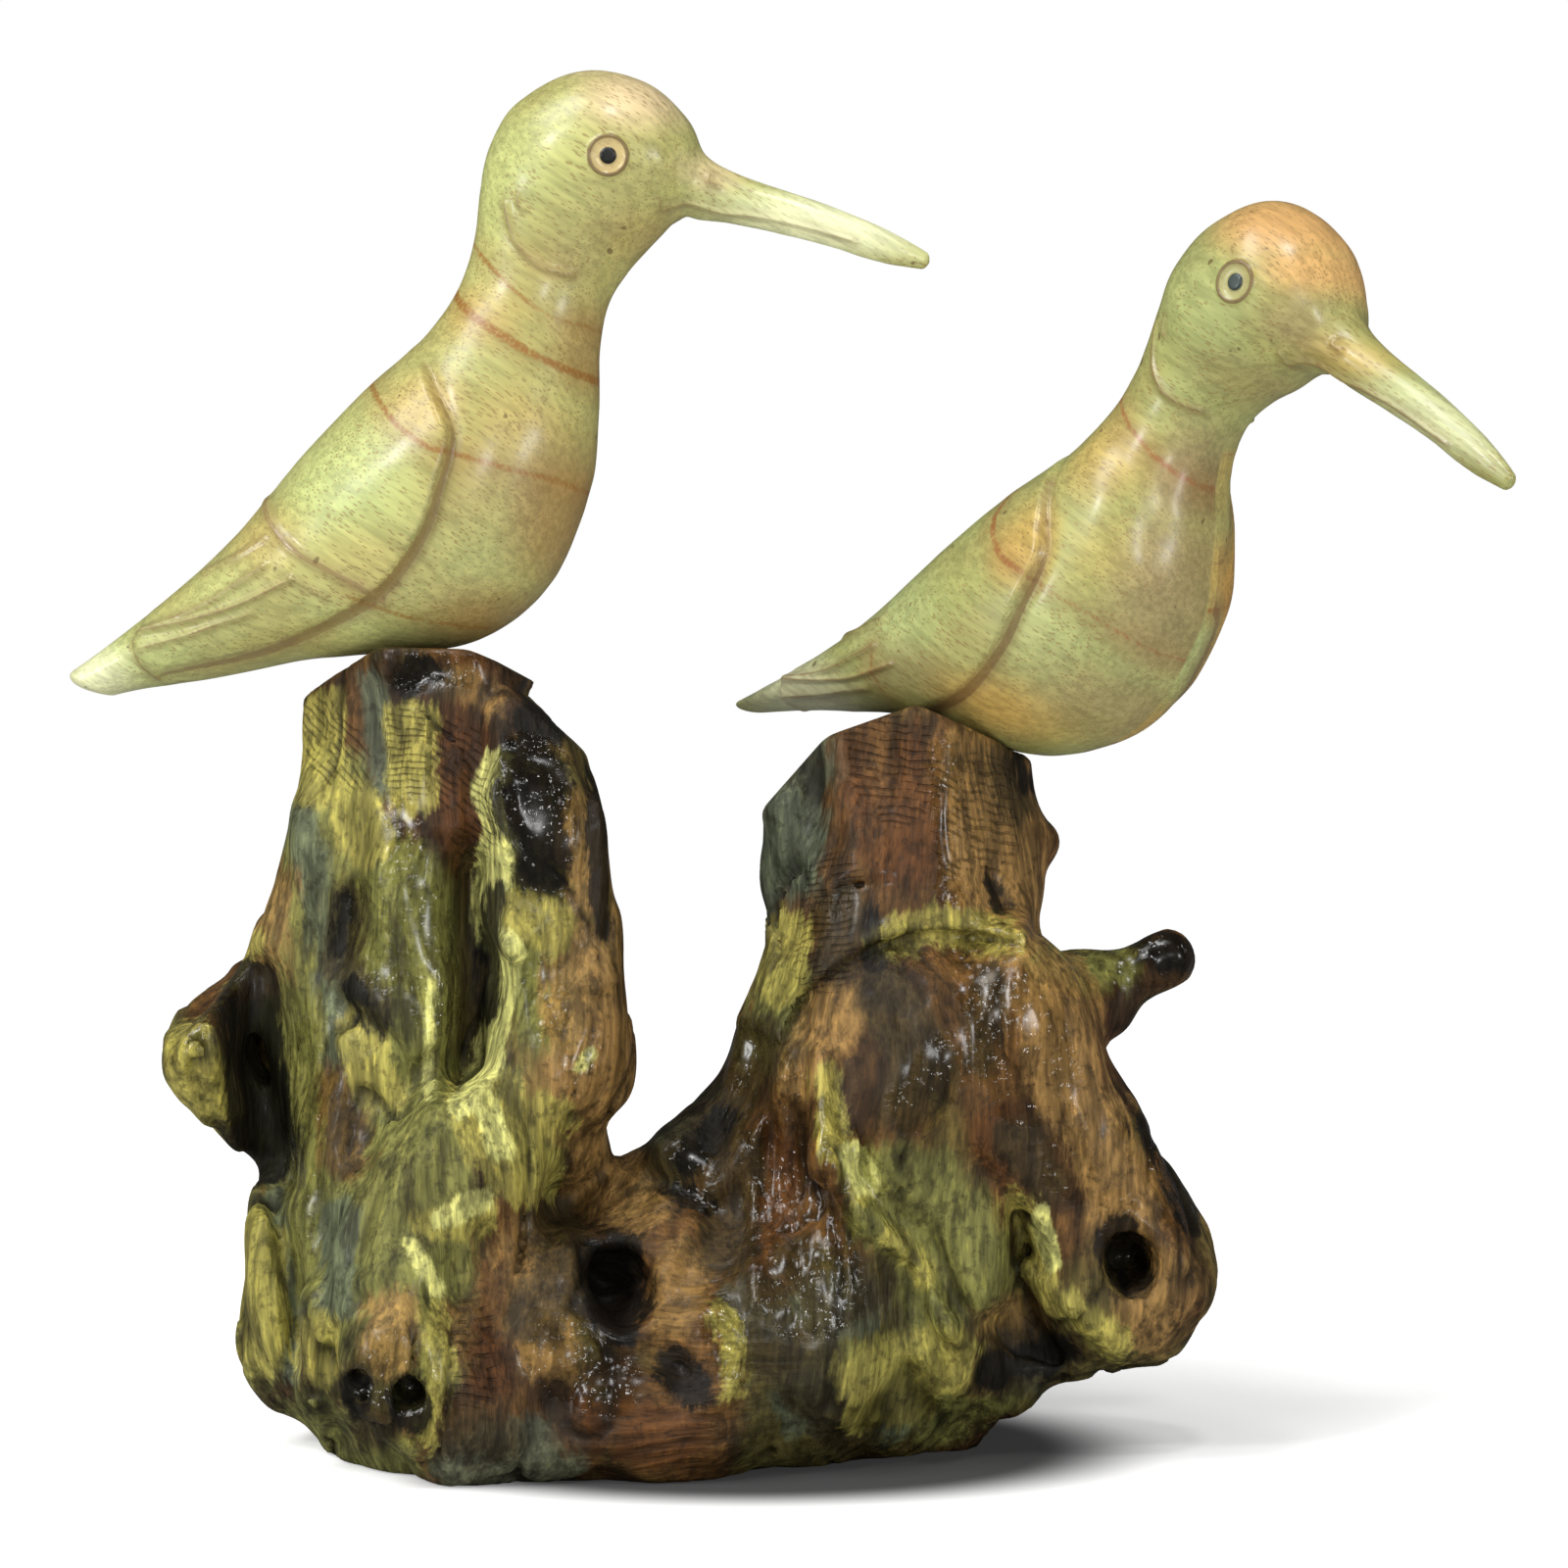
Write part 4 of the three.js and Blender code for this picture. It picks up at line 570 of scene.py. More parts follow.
def line_distance(across, up, line):
    """How far points lie from a line, on which side (1 is the right), and how far along it."""
    least = np.full(across.shape, np.inf)
    side = np.ones(across.shape)
    along = np.zeros(across.shape)
    past = np.zeros(across.shape)
    gone = 0.0
    last = len(line) - 2
    for k, (a, b) in enumerate(zip(line, line[1:])):
        run = b - a
        length = math.hypot(*run)
        t = ((across - a[0]) * run[0] + (up - a[1]) * run[1]) / length**2
        held = np.clip(t, 0.0, 1.0)
        away_x = across - a[0] - held * run[0]
        away_z = up - a[1] - held * run[1]
        away = np.hypot(away_x, away_z)
        nearer = away < least
        least = np.where(nearer, away, least)
        side = np.where(nearer, np.sign(away_x * run[1] - away_z * run[0]), side)
        along = np.where(nearer, gone + held * length, along)
        beyond = np.zeros(across.shape)
        if k == 0:
            beyond = np.maximum(-t, 0.0) * length
        if k == last:
            beyond = np.maximum(beyond, (t - 1.0) * length)
        past = np.where(nearer, beyond, past)
        gone += length
    return least, side, along / gone, past


def relief(across, up, forms):
    """How high the drawn ridges, grooves and ledges stand at each point."""
    height = np.zeros(across.shape)
    for form in forms:
        width, rise, reach, line = form[1], form[2], form[3], curve_through(form[-1], 3)
        margin = 3.0 * width + (reach or 0.0)
        low, high = line.min(0) - margin, line.max(0) + margin
        inside = (across > low[0]) & (across < high[0]) & (up > low[1]) & (up < high[1])
        near = np.flatnonzero(inside)
        if not len(near):
            continue
        away, side, _, past = line_distance(across[near], up[near], line)
        if reach is None:
            height[near] += rise * np.exp(-((away / width) ** 2))
        else:
            step = smooth_step(-width, width, away * side) * (1 - smooth_step(0, reach, away))
            height[near] += rise * step * (1 - smooth_step(0, 3.0 * width, past))
    return height


def drawn_distance(across, up, drawn, far=FAR):
    """How far points lie from the edge of thick lines, each a half width and a row of points."""
    least = np.full(across.shape, far)
    for half, line in drawn:
        least = np.minimum(least, line_distance(across, up, np.array(line, float))[0] - half)
    return least


LATTICE_SIDE = 32
LATTICE = np.random.default_rng(11).random((LATTICE_SIDE,) * 3) * 2.0 - 1.0


def lumps(x, y, z):
    """Smooth uneven swellings from -1 to 1, about one to a unit."""
    value = np.zeros(x.shape)
    floors = [np.floor(c).astype(int) for c in (x, y, z)]
    shares = [smooth_step(0.0, 1.0, c - f) for c, f in zip((x, y, z), floors)]
    for corner in np.ndindex(2, 2, 2):
        weight = 1.0
        for share, end in zip(shares, corner):
            weight = weight * (share if end else 1.0 - share)
        place = tuple((f + end) % LATTICE_SIDE for f, end in zip(floors, corner))
        value += weight * LATTICE[place]
    return value


# Birds


def section_places(rows):
    """How far along the bird each section lies, by the middle of the section."""
    middle = (rows[:, 0:2] + rows[:, 2:4]) / 2
    return np.concatenate([[0.0], np.cumsum(np.hypot(*np.diff(middle, axis=0).T))])


def smooth_through(places, values, place):
    """A smooth curve through values placed along a line."""
    last = len(places) - 1
    k = np.clip(np.searchsorted(places, place) - 1, 0, last - 1)

    def slope(i):
        a, b = np.maximum(i - 1, 0), np.minimum(i + 1, last)
        return (values[b] - values[a]) / (places[b] - places[a])[:, None]

    span = (places[k + 1] - places[k])[:, None]
    t = ((place - places[k])[:, None] / span).clip(0, 1)
    return (
        (2 * t**3 - 3 * t**2 + 1) * values[k] + (t**3 - 2 * t**2 + t) * span * slope(k)
        + (3 * t**2 - 2 * t**3) * values[k + 1] + (t**3 - t**2) * span * slope(k + 1)
    )


def rounded_end(depth, radius):
    """The share of its width that a bird keeps near a rounded end."""
    return np.sqrt(1.0 - (1.0 - np.clip(depth / radius, 0.0, 1.0)) ** 2)


def bird_grid(sections):
    """Rings of points from tail to bill, and the angle of each point round its ring."""
    rows = np.array(list(sections.values()))
    places = section_places(rows)
    fine = np.linspace(0.0, places[-1], FINE_PLACES)
    crowd = np.cumsum(np.interp(fine, places, RING_CLOSENESS))
    crowd = (crowd - crowd[0]) / (crowd[-1] - crowd[0])
    place = np.interp(np.linspace(0.0, 1.0, BIRD_RINGS + 1), crowd, fine)
    ends = min(TAIL_ROUND, BILL_ROUND) / END_PARTS
    place = np.clip(place, ends, places[-1] - ends)
    row = smooth_through(places, rows, place)
    even = 2 * math.pi * np.arange(BIRD_SIDES) / BIRD_SIDES
    angle = even + FLANK_CLOSENESS * np.sin(2 * even)
    keep = rounded_end(place, TAIL_ROUND) * rounded_end(places[-1] - place, BILL_ROUND)
    rise = np.cos(angle) * keep[:, None] / 2
    grid = np.zeros((BIRD_RINGS + 1, BIRD_SIDES, 3))
    for axis, column in ((0, 0), (2, 1)):
        back, under = row[:, column], row[:, column + 2]
        grid[..., axis] = ((back + under) / 2)[:, None] + (back - under)[:, None] * rise
    grid[..., 1] = (row[:, 4] * keep)[:, None] * np.sin(angle)
    return grid, angle


def grid_normals(grid):
    """The way each point of a bird's rings faces."""
    along = np.gradient(grid, axis=0)
    around = np.roll(grid, -1, axis=1) - np.roll(grid, 1, axis=1)
    normal = np.cross(along, around)
    return -normal / np.maximum(np.linalg.norm(normal, axis=2, keepdims=True), 1e-9)


def grid_faces():
    """Four-sided faces between the rings, and a fan at each end."""
    ring, side = np.meshgrid(np.arange(BIRD_RINGS), np.arange(BIRD_SIDES), indexing="ij")
    after = (side + 1) % BIRD_SIDES
    a, b = ring * BIRD_SIDES + side, ring * BIRD_SIDES + after
    quads = np.stack([a, a + BIRD_SIDES, b + BIRD_SIDES, b], axis=2).reshape(-1, 4)
    tail = (BIRD_RINGS + 1) * BIRD_SIDES
    one = np.arange(BIRD_SIDES)
    two = (one + 1) % BIRD_SIDES
    top = BIRD_RINGS * BIRD_SIDES
    fans = [np.stack([np.full(BIRD_SIDES, tail), one, two], axis=1)]
    fans.append(np.stack([np.full(BIRD_SIDES, tail + 1), top + two, top + one], axis=1))
    return quads, np.vstack(fans)


def wing_depth(x, z, edge):
    """How far inside the wing's outline a point lies, seen from the side."""
    outline = np.vstack([edge, WING_TIP, OVER_THE_BACK, edge[:1]])
    away = line_distance(x, z, outline)[0]
    inside = np.zeros(x.shape, bool)
    for a, b in zip(outline, outline[1:]):
        if a[1] == b[1]:
            continue
        crosses = (a[1] > z) != (b[1] > z)
        inside ^= crosses & (x < a[0] + (z - a[1]) * (b[0] - a[0]) / (b[1] - a[1]))
    return np.where(inside, away, -away)


def spot_mask(x, z, spots, colour):
    """The strength of one soft colour at each point."""
    strength = np.zeros(x.shape)
    for name, mid_x, mid_z, half_x, half_z, most in spots:
        if name == colour:
            away = np.hypot((x - mid_x) / half_x, (z - mid_z) / half_z)
            strength = np.maximum(strength, most * (1 - smooth_step(*SPOT_FADE, away)))
    return strength


def carve_bird(bird, sizes):
    """The carved shape of one bird in its own frame, and the masks that its finish needs."""
    grid, angle = bird_grid(bird["sections"])
    normal = grid_normals(grid)
    flat = grid.reshape(-1, 3)
    x, y, z = flat[:, 0], flat[:, 1], flat[:, 2]
    flank = np.tile(np.sin(angle), BIRD_RINGS + 1)

    # The far wing of one bird lies further forward, and shows past its breast
    on_body = 1 - smooth_step(*HEIGHT_OF_NECK, z)
    x = np.where(y > 0, x - bird["far_wing"] * on_body, x)
    edge = curve_through(WING_EDGE, 4)
    depth = wing_depth(x, z, edge)
    raised = smooth_step(*WING_BEVEL, depth)
    far = raised * (y > 0) * (bird["far_wing"] > 0) * on_body
    pressed = np.where(depth < 0, np.exp(-((depth / WING_PRESS_REACH) ** 2)), 0.0)
    sideways = flank * (sizes.wing_proud / MM * raised - WING_PRESS * pressed)

    # The carved lines, an eye on either side, and the hand's marks
    cuts = [cut for cut in CUTS if cut[0] not in bird["without"]]
    outward = relief(x, z, cuts) * smooth_step(*CUTS_SET_IN, np.abs(flank))
    eye_away = np.full(x.shape, np.inf)
    for side in (-1, 1):
        from_eye = np.hypot(x - bird["eye"][0], z - bird["eye"][1])
        centre = flat[np.argmin(np.where(y * side > 0, from_eye, np.inf))]
        eye_away = np.minimum(eye_away, np.linalg.norm(flat - centre, axis=1))
    ring = np.exp(-(((eye_away - EYE["ring"]) / EYE["ring_width"]) ** 2))
    ball = EYE["ball"] * (1 - smooth_step(EYE["ball_flat"], EYE["ring"], eye_away))
    pupil = 1 - smooth_step(EYE["pupil"] - 0.25, EYE["pupil"] + 0.1, eye_away)
    outward += ball - EYE["ring_depth"] * ring - EYE["pupil_depth"] * pupil
    outward += sum(height * lumps(x / size + shift, y / size, z / size)
                   for height, size, shift in HAND_MARKS)

    # How far each point lies from the brown in the cuts and from the growth rings
    away, _, along, _ = line_distance(x, z, edge)
    stain = away - np.interp(along, EDGE_STAIN[0], np.array(EDGE_STAIN[1]) * bird["groove"])
    stain = np.where(depth > EDGE_STAIN_END, NO_STAIN, stain)
    brown = [(cut[4] * bird["line"], curve_through(cut[-1], 4)) for cut in cuts if cut[4]]
    stain = np.minimum(stain, drawn_distance(x, z, brown, NO_STAIN))
    stain = np.where(np.abs(flank) > BROWN_SETS_IN, stain, NO_STAIN)
    rings = [(half, curve_through(points, 4)) for half, points in bird["bands"]]

    masks = {"stain_mm": stain, "band_mm": drawn_distance(x, z, rings, NO_BAND),
             "eye_mm": eye_away}
    for colour in BIRD_SPOT_SHARES:
        masks[colour] = spot_mask(x, z, bird["spots"], colour)
    masks["amber"] = np.maximum(masks["amber"], far)
    masks["shade"] = masks["shade"] * (1 - far)

    # The shape, with one more point in the middle of each end
    shaped = flat + normal.reshape(-1, 3) * outward[:, None]
    shaped[:, 1] += sideways
    ends = [shaped[:BIRD_SIDES].mean(0), shaped[-BIRD_SIDES:].mean(0)]
    masks = {name: np.append(mask, mask[[0, -1]]) for name, mask in masks.items()}
    return np.vstack([shaped, ends]), masks


def turned(points, axis, degrees):
    """Points turned about one axis, by one angle or one each."""
    angle = np.radians(degrees)
    a, b = ((1, 2), (2, 0), (0, 1))[axis]
    result = points.copy()
    result[:, a] = points[:, a] * np.cos(angle) - points[:, b] * np.sin(angle)
    result[:, b] = points[:, a] * np.sin(angle) + points[:, b] * np.cos(angle)
    return result


def seat_bird(points, bird):
    """Turns the head on the neck and sets the bird on its stub."""
    lean = points[:, 2] + NECK["lean"] * points[:, 0]
    share = smooth_step(NECK["from"], NECK["to"], lean)
    pivot = np.array([NECK["x"], 0.0, NECK["z"]])
    points = turned(points - pivot, 2, bird["head_turn"] * share)
    points = turned(points, 1, bird["nod"] * share) + pivot
    points = turned(turned(points, 1, bird["pitch"]), 2, bird["yaw"])
    return points + bird["seat"]


BIRDS = {
    "left_bird": {
        "node": "bird_left", "slot": "left_bird_wood", "sections": BIRD_SECTIONS,
        "seat": (-54.0, 2.0, 121.8), "yaw": -6.0, "pitch": 0.0, "head_turn": 0.0, "nod": 0.0,
        "eye": (29.2, 72.9), "spots": LEFT_SPOTS, "bands": LEFT_BANDS, "without": (),
        "far_wing": 0.0, "groove": 1.0, "line": 1.0,
    },
    "right_bird": {
        "node": "bird_right", "slot": "right_bird_wood", "sections": RIGHT_SECTIONS,
        "seat": (38.8, 0.0, 105.8), "yaw": -39.0, "pitch": 12.6, "head_turn": -9.0, "nod": 4.4,
        "eye": (28.8, 75.6), "spots": RIGHT_SPOTS, "bands": RIGHT_BANDS,
        "without": ("covert line", "covert step", "crack"),
        "far_wing": 19.0, "groove": 0.7, "line": 1.1,
    },
}

# Root

# How finely and how near the skin the root is worked out, how round its flats' and cuts' edges
# are, and the gap under a bird
CELL_STEPS = 4
NEAR_STEPS = 2.2
SETTLE_ROUNDS = 2
PROBE = 0.05
LEAST_SLOPE = 0.2
FLAT_MELT = 1.5
CUT_MELT = 0.8
SEAT_GAP = 0.3
SEAT_SEARCH = 7.0


def limb_distance(limb, x, y, z):
    """Below zero inside a tapering limb, above zero outside."""
    _, (ax, ay, az), r0, (bx, by, bz), r1, depth = limb[:6]
    ex, ey, ez = bx - ax, (by - ay) / depth, bz - az
    px, py, pz = x - ax, (y - ay) / depth, z - az
    t = np.clip((px * ex + py * ey + pz * ez) / (ex * ex + ey * ey + ez * ez), 0.0, 1.0)
    qx, qy, qz = px - t * ex, py - t * ey, pz - t * ez
    distance = np.sqrt(qx * qx + qy * qy + qz * qz) - r0 - t * (r1 - r0)
    for count, height, twist in limb[8:]:
        distance = distance - height * np.sin(count * (np.arctan2(qy, qx) + twist * z))
    for at, facing in limb[7] if len(limb) > 7 else ():
        beyond = (x - at[0]) * facing[0] + (y - at[1]) * facing[1] + (z - at[2]) * facing[2]
        distance = -melt(-distance, -beyond / math.hypot(*facing), FLAT_MELT)
    return distance


def cut_distance(cut, x, y, z):
    """Below zero inside a square block with one face on the cut."""
    _, at, facing, size = cut
    turn = np.array(Vector((0, 0, 1)).rotation_difference(Vector(facing)).to_matrix())
    away = np.stack([x - at[0], y - at[1], z - at[2]])
    across, deep, out = turn.T @ away
    half = size / 2
    return np.maximum(np.maximum(np.abs(across), np.abs(deep)), np.abs(out - half)) - half


def seen_from_front(x, y, z):
    """Where a point of the root falls on the drawing of its front."""
    share = VIEW_DISTANCE / (VIEW_DISTANCE + y)
    return x * share, VIEW_HEIGHT + (z - VIEW_HEIGHT) * share


def lying_share(x, z):
    """1 where the fibres lie flat, in the bridge between the trunks, and 0 where they stand."""
    return np.exp(-(((x + 16) / 17) ** 2)) * (1 - smooth_step(24, 44, z))


def weathering(x, y, z):
    """Fibre ridges and small dips, in millimetres."""
    lying = lying_share(x, z)
    wander = 4.0 * lumps(x / 26, y / 26, z / 26)
    standing = lumps((x + wander) / FIBRE_WIDTH, (y + wander) / FIBRE_WIDTH, z / 30 + 3)
    flat = lumps(x / 26 + 5, y / FIBRE_WIDTH, (z + wander) / FIBRE_WIDTH)
    fibres = standing * (1 - lying) + flat * lying
    fine = lumps(x / 2.1, y / 2.1, z / 5.5)
    dips = lumps(x / 10 + 4, y / 10, z / 12)
    return FIBRE_HEIGHT * fibres + FINE_HEIGHT * fine + DIP_HEIGHT * dips


def fissures(x, y, z):
    """Cracks between the fibres: 1 in the middle of a crack, 0 outside."""
    lying = lying_share(x, z)
    wander = 5.0 * lumps(x / 24 + 2, y / 24, z / 24)
    standing = lumps((x + wander) / STRAND_WIDTH + 6, (y + wander) / STRAND_WIDTH, z / 36)
    flat = lumps(x / 36 + 6, y / STRAND_WIDTH, (z + wander) / STRAND_WIDTH)
    middle = standing * (1 - lying) + flat * lying
    held = smooth_step(-0.15, 0.15, lumps(x / 14, y / 14 + 8, z / 20))
    return np.exp(-((middle / FISSURE_SHARE) ** 2)) * held


def root_distance(x, y, z):
    """Below zero inside the root, above zero outside."""
    distance = limb_distance(LIMBS[0], x, y, z)
    for limb in LIMBS[1:]:
        distance = melt(distance, limb_distance(limb, x, y, z), limb[6])
    for hollow in HOLLOWS:
        distance = -melt(-distance, limb_distance(hollow, x, y, z), hollow[6])
    broad = np.sin(0.19 * x + 0.03 * z + 0.6) * np.sin(0.16 * y + 0.05 * z + 1.1)
    close = np.sin(0.31 * x - 0.24 * y + 0.07 * z) * np.sin(0.17 * z + 0.12 * x + 0.4)
    distance = distance + BROAD_SWELL * broad + CLOSE_SWELL * close
    across, up = seen_from_front(x, y, z)
    distance = distance - relief(across, up, FRONT_FORMS) * (1 - smooth_step(-4, 5, y))
    distance = distance - relief(x, z, BACK_FORMS) * smooth_step(4, 12, y)
    distance = distance - weathering(x, y, z) + FISSURE_DEPTH * fissures(x, y, z)
    for cut in TOP_CUTS:
        distance = -melt(-distance, cut_distance(cut, x, y, z), CUT_MELT)
    return -melt(-distance, z, CUT_MELT)


def grid_skin(distance, low, high, cell):
    """A closed skin where a distance is zero: one point in each crossed cell, quads between."""
    # A coarse lattice finds the blocks near the skin, and only those are worked out finely
    coarse = cell * CELL_STEPS
    counts = [int(math.ceil((b - a) / coarse)) for a, b in zip(low, high)]
    axes = [a + coarse * np.arange(n + 1) for a, n in zip(low, counts)]
    rough = distance(*(c.ravel() for c in np.meshgrid(*axes, indexing="ij")))
    rough = rough.reshape([n + 1 for n in counts])
    near = np.abs(rough[:-1, :-1, :-1]) < NEAR_STEPS * coarse
    shape = [n * CELL_STEPS + 1 for n in counts]
    values = np.zeros(shape)
    active = np.zeros(shape, bool)
    block = (slice(0, -1),) * 3
    values[block] = np.kron(rough[:-1, :-1, :-1], np.ones((CELL_STEPS,) * 3))
    active[block] = np.kron(near, np.ones((CELL_STEPS,) * 3, bool))
    for axis in range(3):
        last, before = [slice(None)] * 3, [slice(None)] * 3
        last[axis], before[axis] = -1, -2
        values[tuple(last)] = values[tuple(before)]
        active[tuple(last)] = active[tuple(before)]
    places = np.argwhere(active)
    values[active] = distance(*(np.array(low)[:, None] + cell * places.T))
    inside = values < 0

    # One point in each cell that the skin crosses, in the middle of its edges' crossings
    cells = [n - 1 for n in shape]
    corners = [
        inside[i:i + cells[0], j:j + cells[1], k:k + cells[2]]
        for i, j, k in np.ndindex(2, 2, 2)
    ]
    crossed = np.any(corners, axis=0) & ~np.all(corners, axis=0)
    found = np.argwhere(crossed)
    number = np.full(cells, -1)
    number[crossed] = np.arange(len(found))
    total = np.zeros((len(found), 3))
    count = np.zeros(len(found))
    for corner in np.ndindex(2, 2, 2):
        here = values[tuple((found + corner).T)]
        for axis in range(3):
            if corner[axis]:
                continue
            end = np.array(corner)
            end[axis] = 1
            there = values[tuple((found + end).T)]
            cross = (here < 0) != (there < 0)
            share = np.where(cross, here / np.where(cross, here - there, 1.0), 0.0)
            step = np.array(corner, float)[None, :].repeat(len(found), axis=0)
            step[:, axis] += share
            total += step * cross[:, None]
            count += cross
    start = np.array(low) + (found + total / count[:, None]) * cell
    points = settle(distance, start, cell / 2)

    # One quad round each edge of the lattice that the skin crosses
    faces = []
    for axis in range(3):
        u, v = (axis + 1) % 3, (axis + 2) % 3
        lower, upper = [slice(None)] * 3, [slice(None)] * 3
        lower[axis], upper[axis] = slice(0, -1), slice(1, None)
        edges = np.argwhere(inside[tuple(lower)] != inside[tuple(upper)])
        steps_u, steps_v = np.zeros(3, int), np.zeros(3, int)
        steps_u[u], steps_v[v] = 1, 1
        ring = [edges, edges - steps_u, edges - steps_u - steps_v, edges - steps_v]
        quads = np.stack([number[tuple(r.T)] for r in ring], axis=1)
        turned_in = ~inside[tuple(edges.T)]
        quads[turned_in] = quads[turned_in][:, ::-1]
        faces.append(quads)
    return points, np.vstack(faces)


def settle(distance, start, limit):
    """Moves points onto the skin along the steepest way, no further than a limit."""
    points = start.copy()
    for _ in range(SETTLE_ROUNDS):
        here = distance(*points.T)
        slope = np.stack([
            distance(*(points + step).T) - here for step in PROBE * np.eye(3)
        ], axis=1) / PROBE
        steep = np.maximum((slope**2).sum(1), LEAST_SLOPE)
        moved = points - slope * (here / steep)[:, None]
        points = np.clip(moved, start - limit, start + limit)
    return points


def root_masks(points):
    """Distances to what is drawn on the front of the root, the rasp's marks and soft zones."""
    x, y, z = points.T
    across, up = seen_from_front(x, y, z)
    behind = BEHIND * smooth_step(6, 18, y)
    masks = {}
    for colour, drawn in (PATCHES | {"wet": WET}).items():
        least = drawn_distance(across, up, drawn)
        masks[colour + "_mm"] = np.minimum(least + behind, FAR)
    rasp = np.full(x.shape, FAR)
    phase = np.zeros(x.shape)
    for degrees, spacing, half, line in RASPED:
        away = drawn_distance(across, up, [(half, line)])
        slant = math.radians(degrees)
        marks = (up * math.cos(slant) + across * math.sin(slant)) / spacing
        phase = np.where(away < rasp, marks, phase)
        rasp = np.minimum(rasp, away)
    masks["rasp_mm"] = np.minimum(rasp + behind, FAR)
    masks["rasp_mark"] = phase
    masks["fissure"] = fissures(x, y, z)
    masks["lying"] = lying_share(x, z)
    masks["front"] = 1 - smooth_step(-2, 10, y)
    return masks


def clear_of_birds(points):
    """Presses the root's top down where a bird sits on it."""
    for name in BIRDS:
        piece = bpy.data.objects.get(name)
        if piece is None:
            raise RuntimeError(f"{name} has to be carved before the root that it sits on")
        tree = BVHTree.FromObject(piece, bpy.context.evaluated_depsgraph_get())
        low = min(v.co.z for v in piece.data.vertices) - MM
        for k in np.flatnonzero(points[:, 2] > low):
            place, facing, _, away = tree.find_nearest(Vector(points[k]), SEAT_SEARCH * MM)
            if place is None:
                continue
            out = (Vector(points[k]) - place).dot(facing)
            if out < SEAT_GAP * MM:
                points[k] = place + facing * SEAT_GAP * MM
    return points


# Pieces


def put(name, data, place=(0.0, 0.0, 0.0)):
    """Adds an object to the scene."""
    thing = bpy.data.objects.new(name, data)
    thing.location = place
    bpy.context.scene.collection.objects.link(thing)
    return thing


def hang_light(name, kind, power, place, way):
    """Adds a light that shines a given way, and gives back its settings."""
    light = bpy.data.lights.new(name, kind)
    light.energy = power
    put(name, light, place).rotation_euler = way.to_track_quat("-Z", "Y").to_euler()
    return light


def make_piece(name, points, faces, masks, material):
    """A smooth mesh object from points in metres, faces of three or four, and its masks."""
    mesh = bpy.data.meshes.new(name)
    sizes = np.concatenate([np.full(len(part), part.shape[1]) for part in faces])
    loops = np.concatenate([part.ravel() for part in faces])
    mesh.vertices.add(len(points))
    mesh.loops.add(len(loops))
    mesh.polygons.add(len(sizes))
    mesh.vertices.foreach_set("co", points.astype(np.float32).ravel())
    mesh.loops.foreach_set("vertex_index", loops.astype(np.int32))
    starts = np.concatenate([[0], np.cumsum(sizes)[:-1]])
    mesh.polygons.foreach_set("loop_start", starts.astype(np.int32))
    mesh.update(calc_edges=True)
    mesh.validate()
    mesh.shade_smooth()
    for mask_name, mask in masks.items():
        layer = mesh.attributes.new(mask_name, "FLOAT", "POINT")
        layer.data.foreach_set("value", mask.astype(np.float32))
    mesh.materials.append(material)
    return put(name, mesh)


def take_place(piece, node, slot):
    """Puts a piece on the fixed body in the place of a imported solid."""
    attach(piece, "root")
    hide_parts(node)


# Finishes


def paint(red, green, blue):
    """A colour named by its everyday 0 to 255 values."""
    parts = []
    for value in (red, green, blue):
        share = value / 255
        parts.append(share / 12.92 if share <= 0.04045 else ((share + 0.055) / 1.055) ** 2.4)
    return (*parts, 1.0)


# Colours that stay as they are on either bird and on the root
PORE = paint(140, 112, 62)
EYE_RING = paint(112, 84, 48)
BROWN_DOT = paint(96, 70, 36)
GRIME = paint(30, 23, 13)
FISSURE_DARK = paint(16, 12, 7)
RASP_DARK = paint(34, 22, 10)
# Brightens thin strands along the root's fibres: painted glints
GLINT_GOLD = (1.9, 1.8, 1.5, 1.0)

# The slant of a bird's fibres in degrees, and how far the root's fibres wander in metres
FIBRE_SLANT = -33.0
FIBRE_SWAY = 0.006

# The colours laid over each other in order: how strongly on a bird, and on the root how ragged
# and how soft the edge is, in millimetres, and how strongly
BIRD_SPOT_SHARES = {"pale": 0.85, "cream": 1.0, "amber": 1.0, "blush": 1.0, "shade": 0.9}
ROOT_LAYERS = (
    ("olive", 12.0, 2.0, 0.88), ("grey", 9.0, 1.1, 0.75), ("rust", 10.0, 1.6, 0.75),
    ("tan", 11.0, 1.5, 0.8), ("umber_and_shade", 9.0, 1.5, 0.85), ("mustard", 9.0, 0.9, 0.8),
    ("pale", 5.0, 0.5, 0.88), ("black", 9.0, 0.8, 0.92),
)


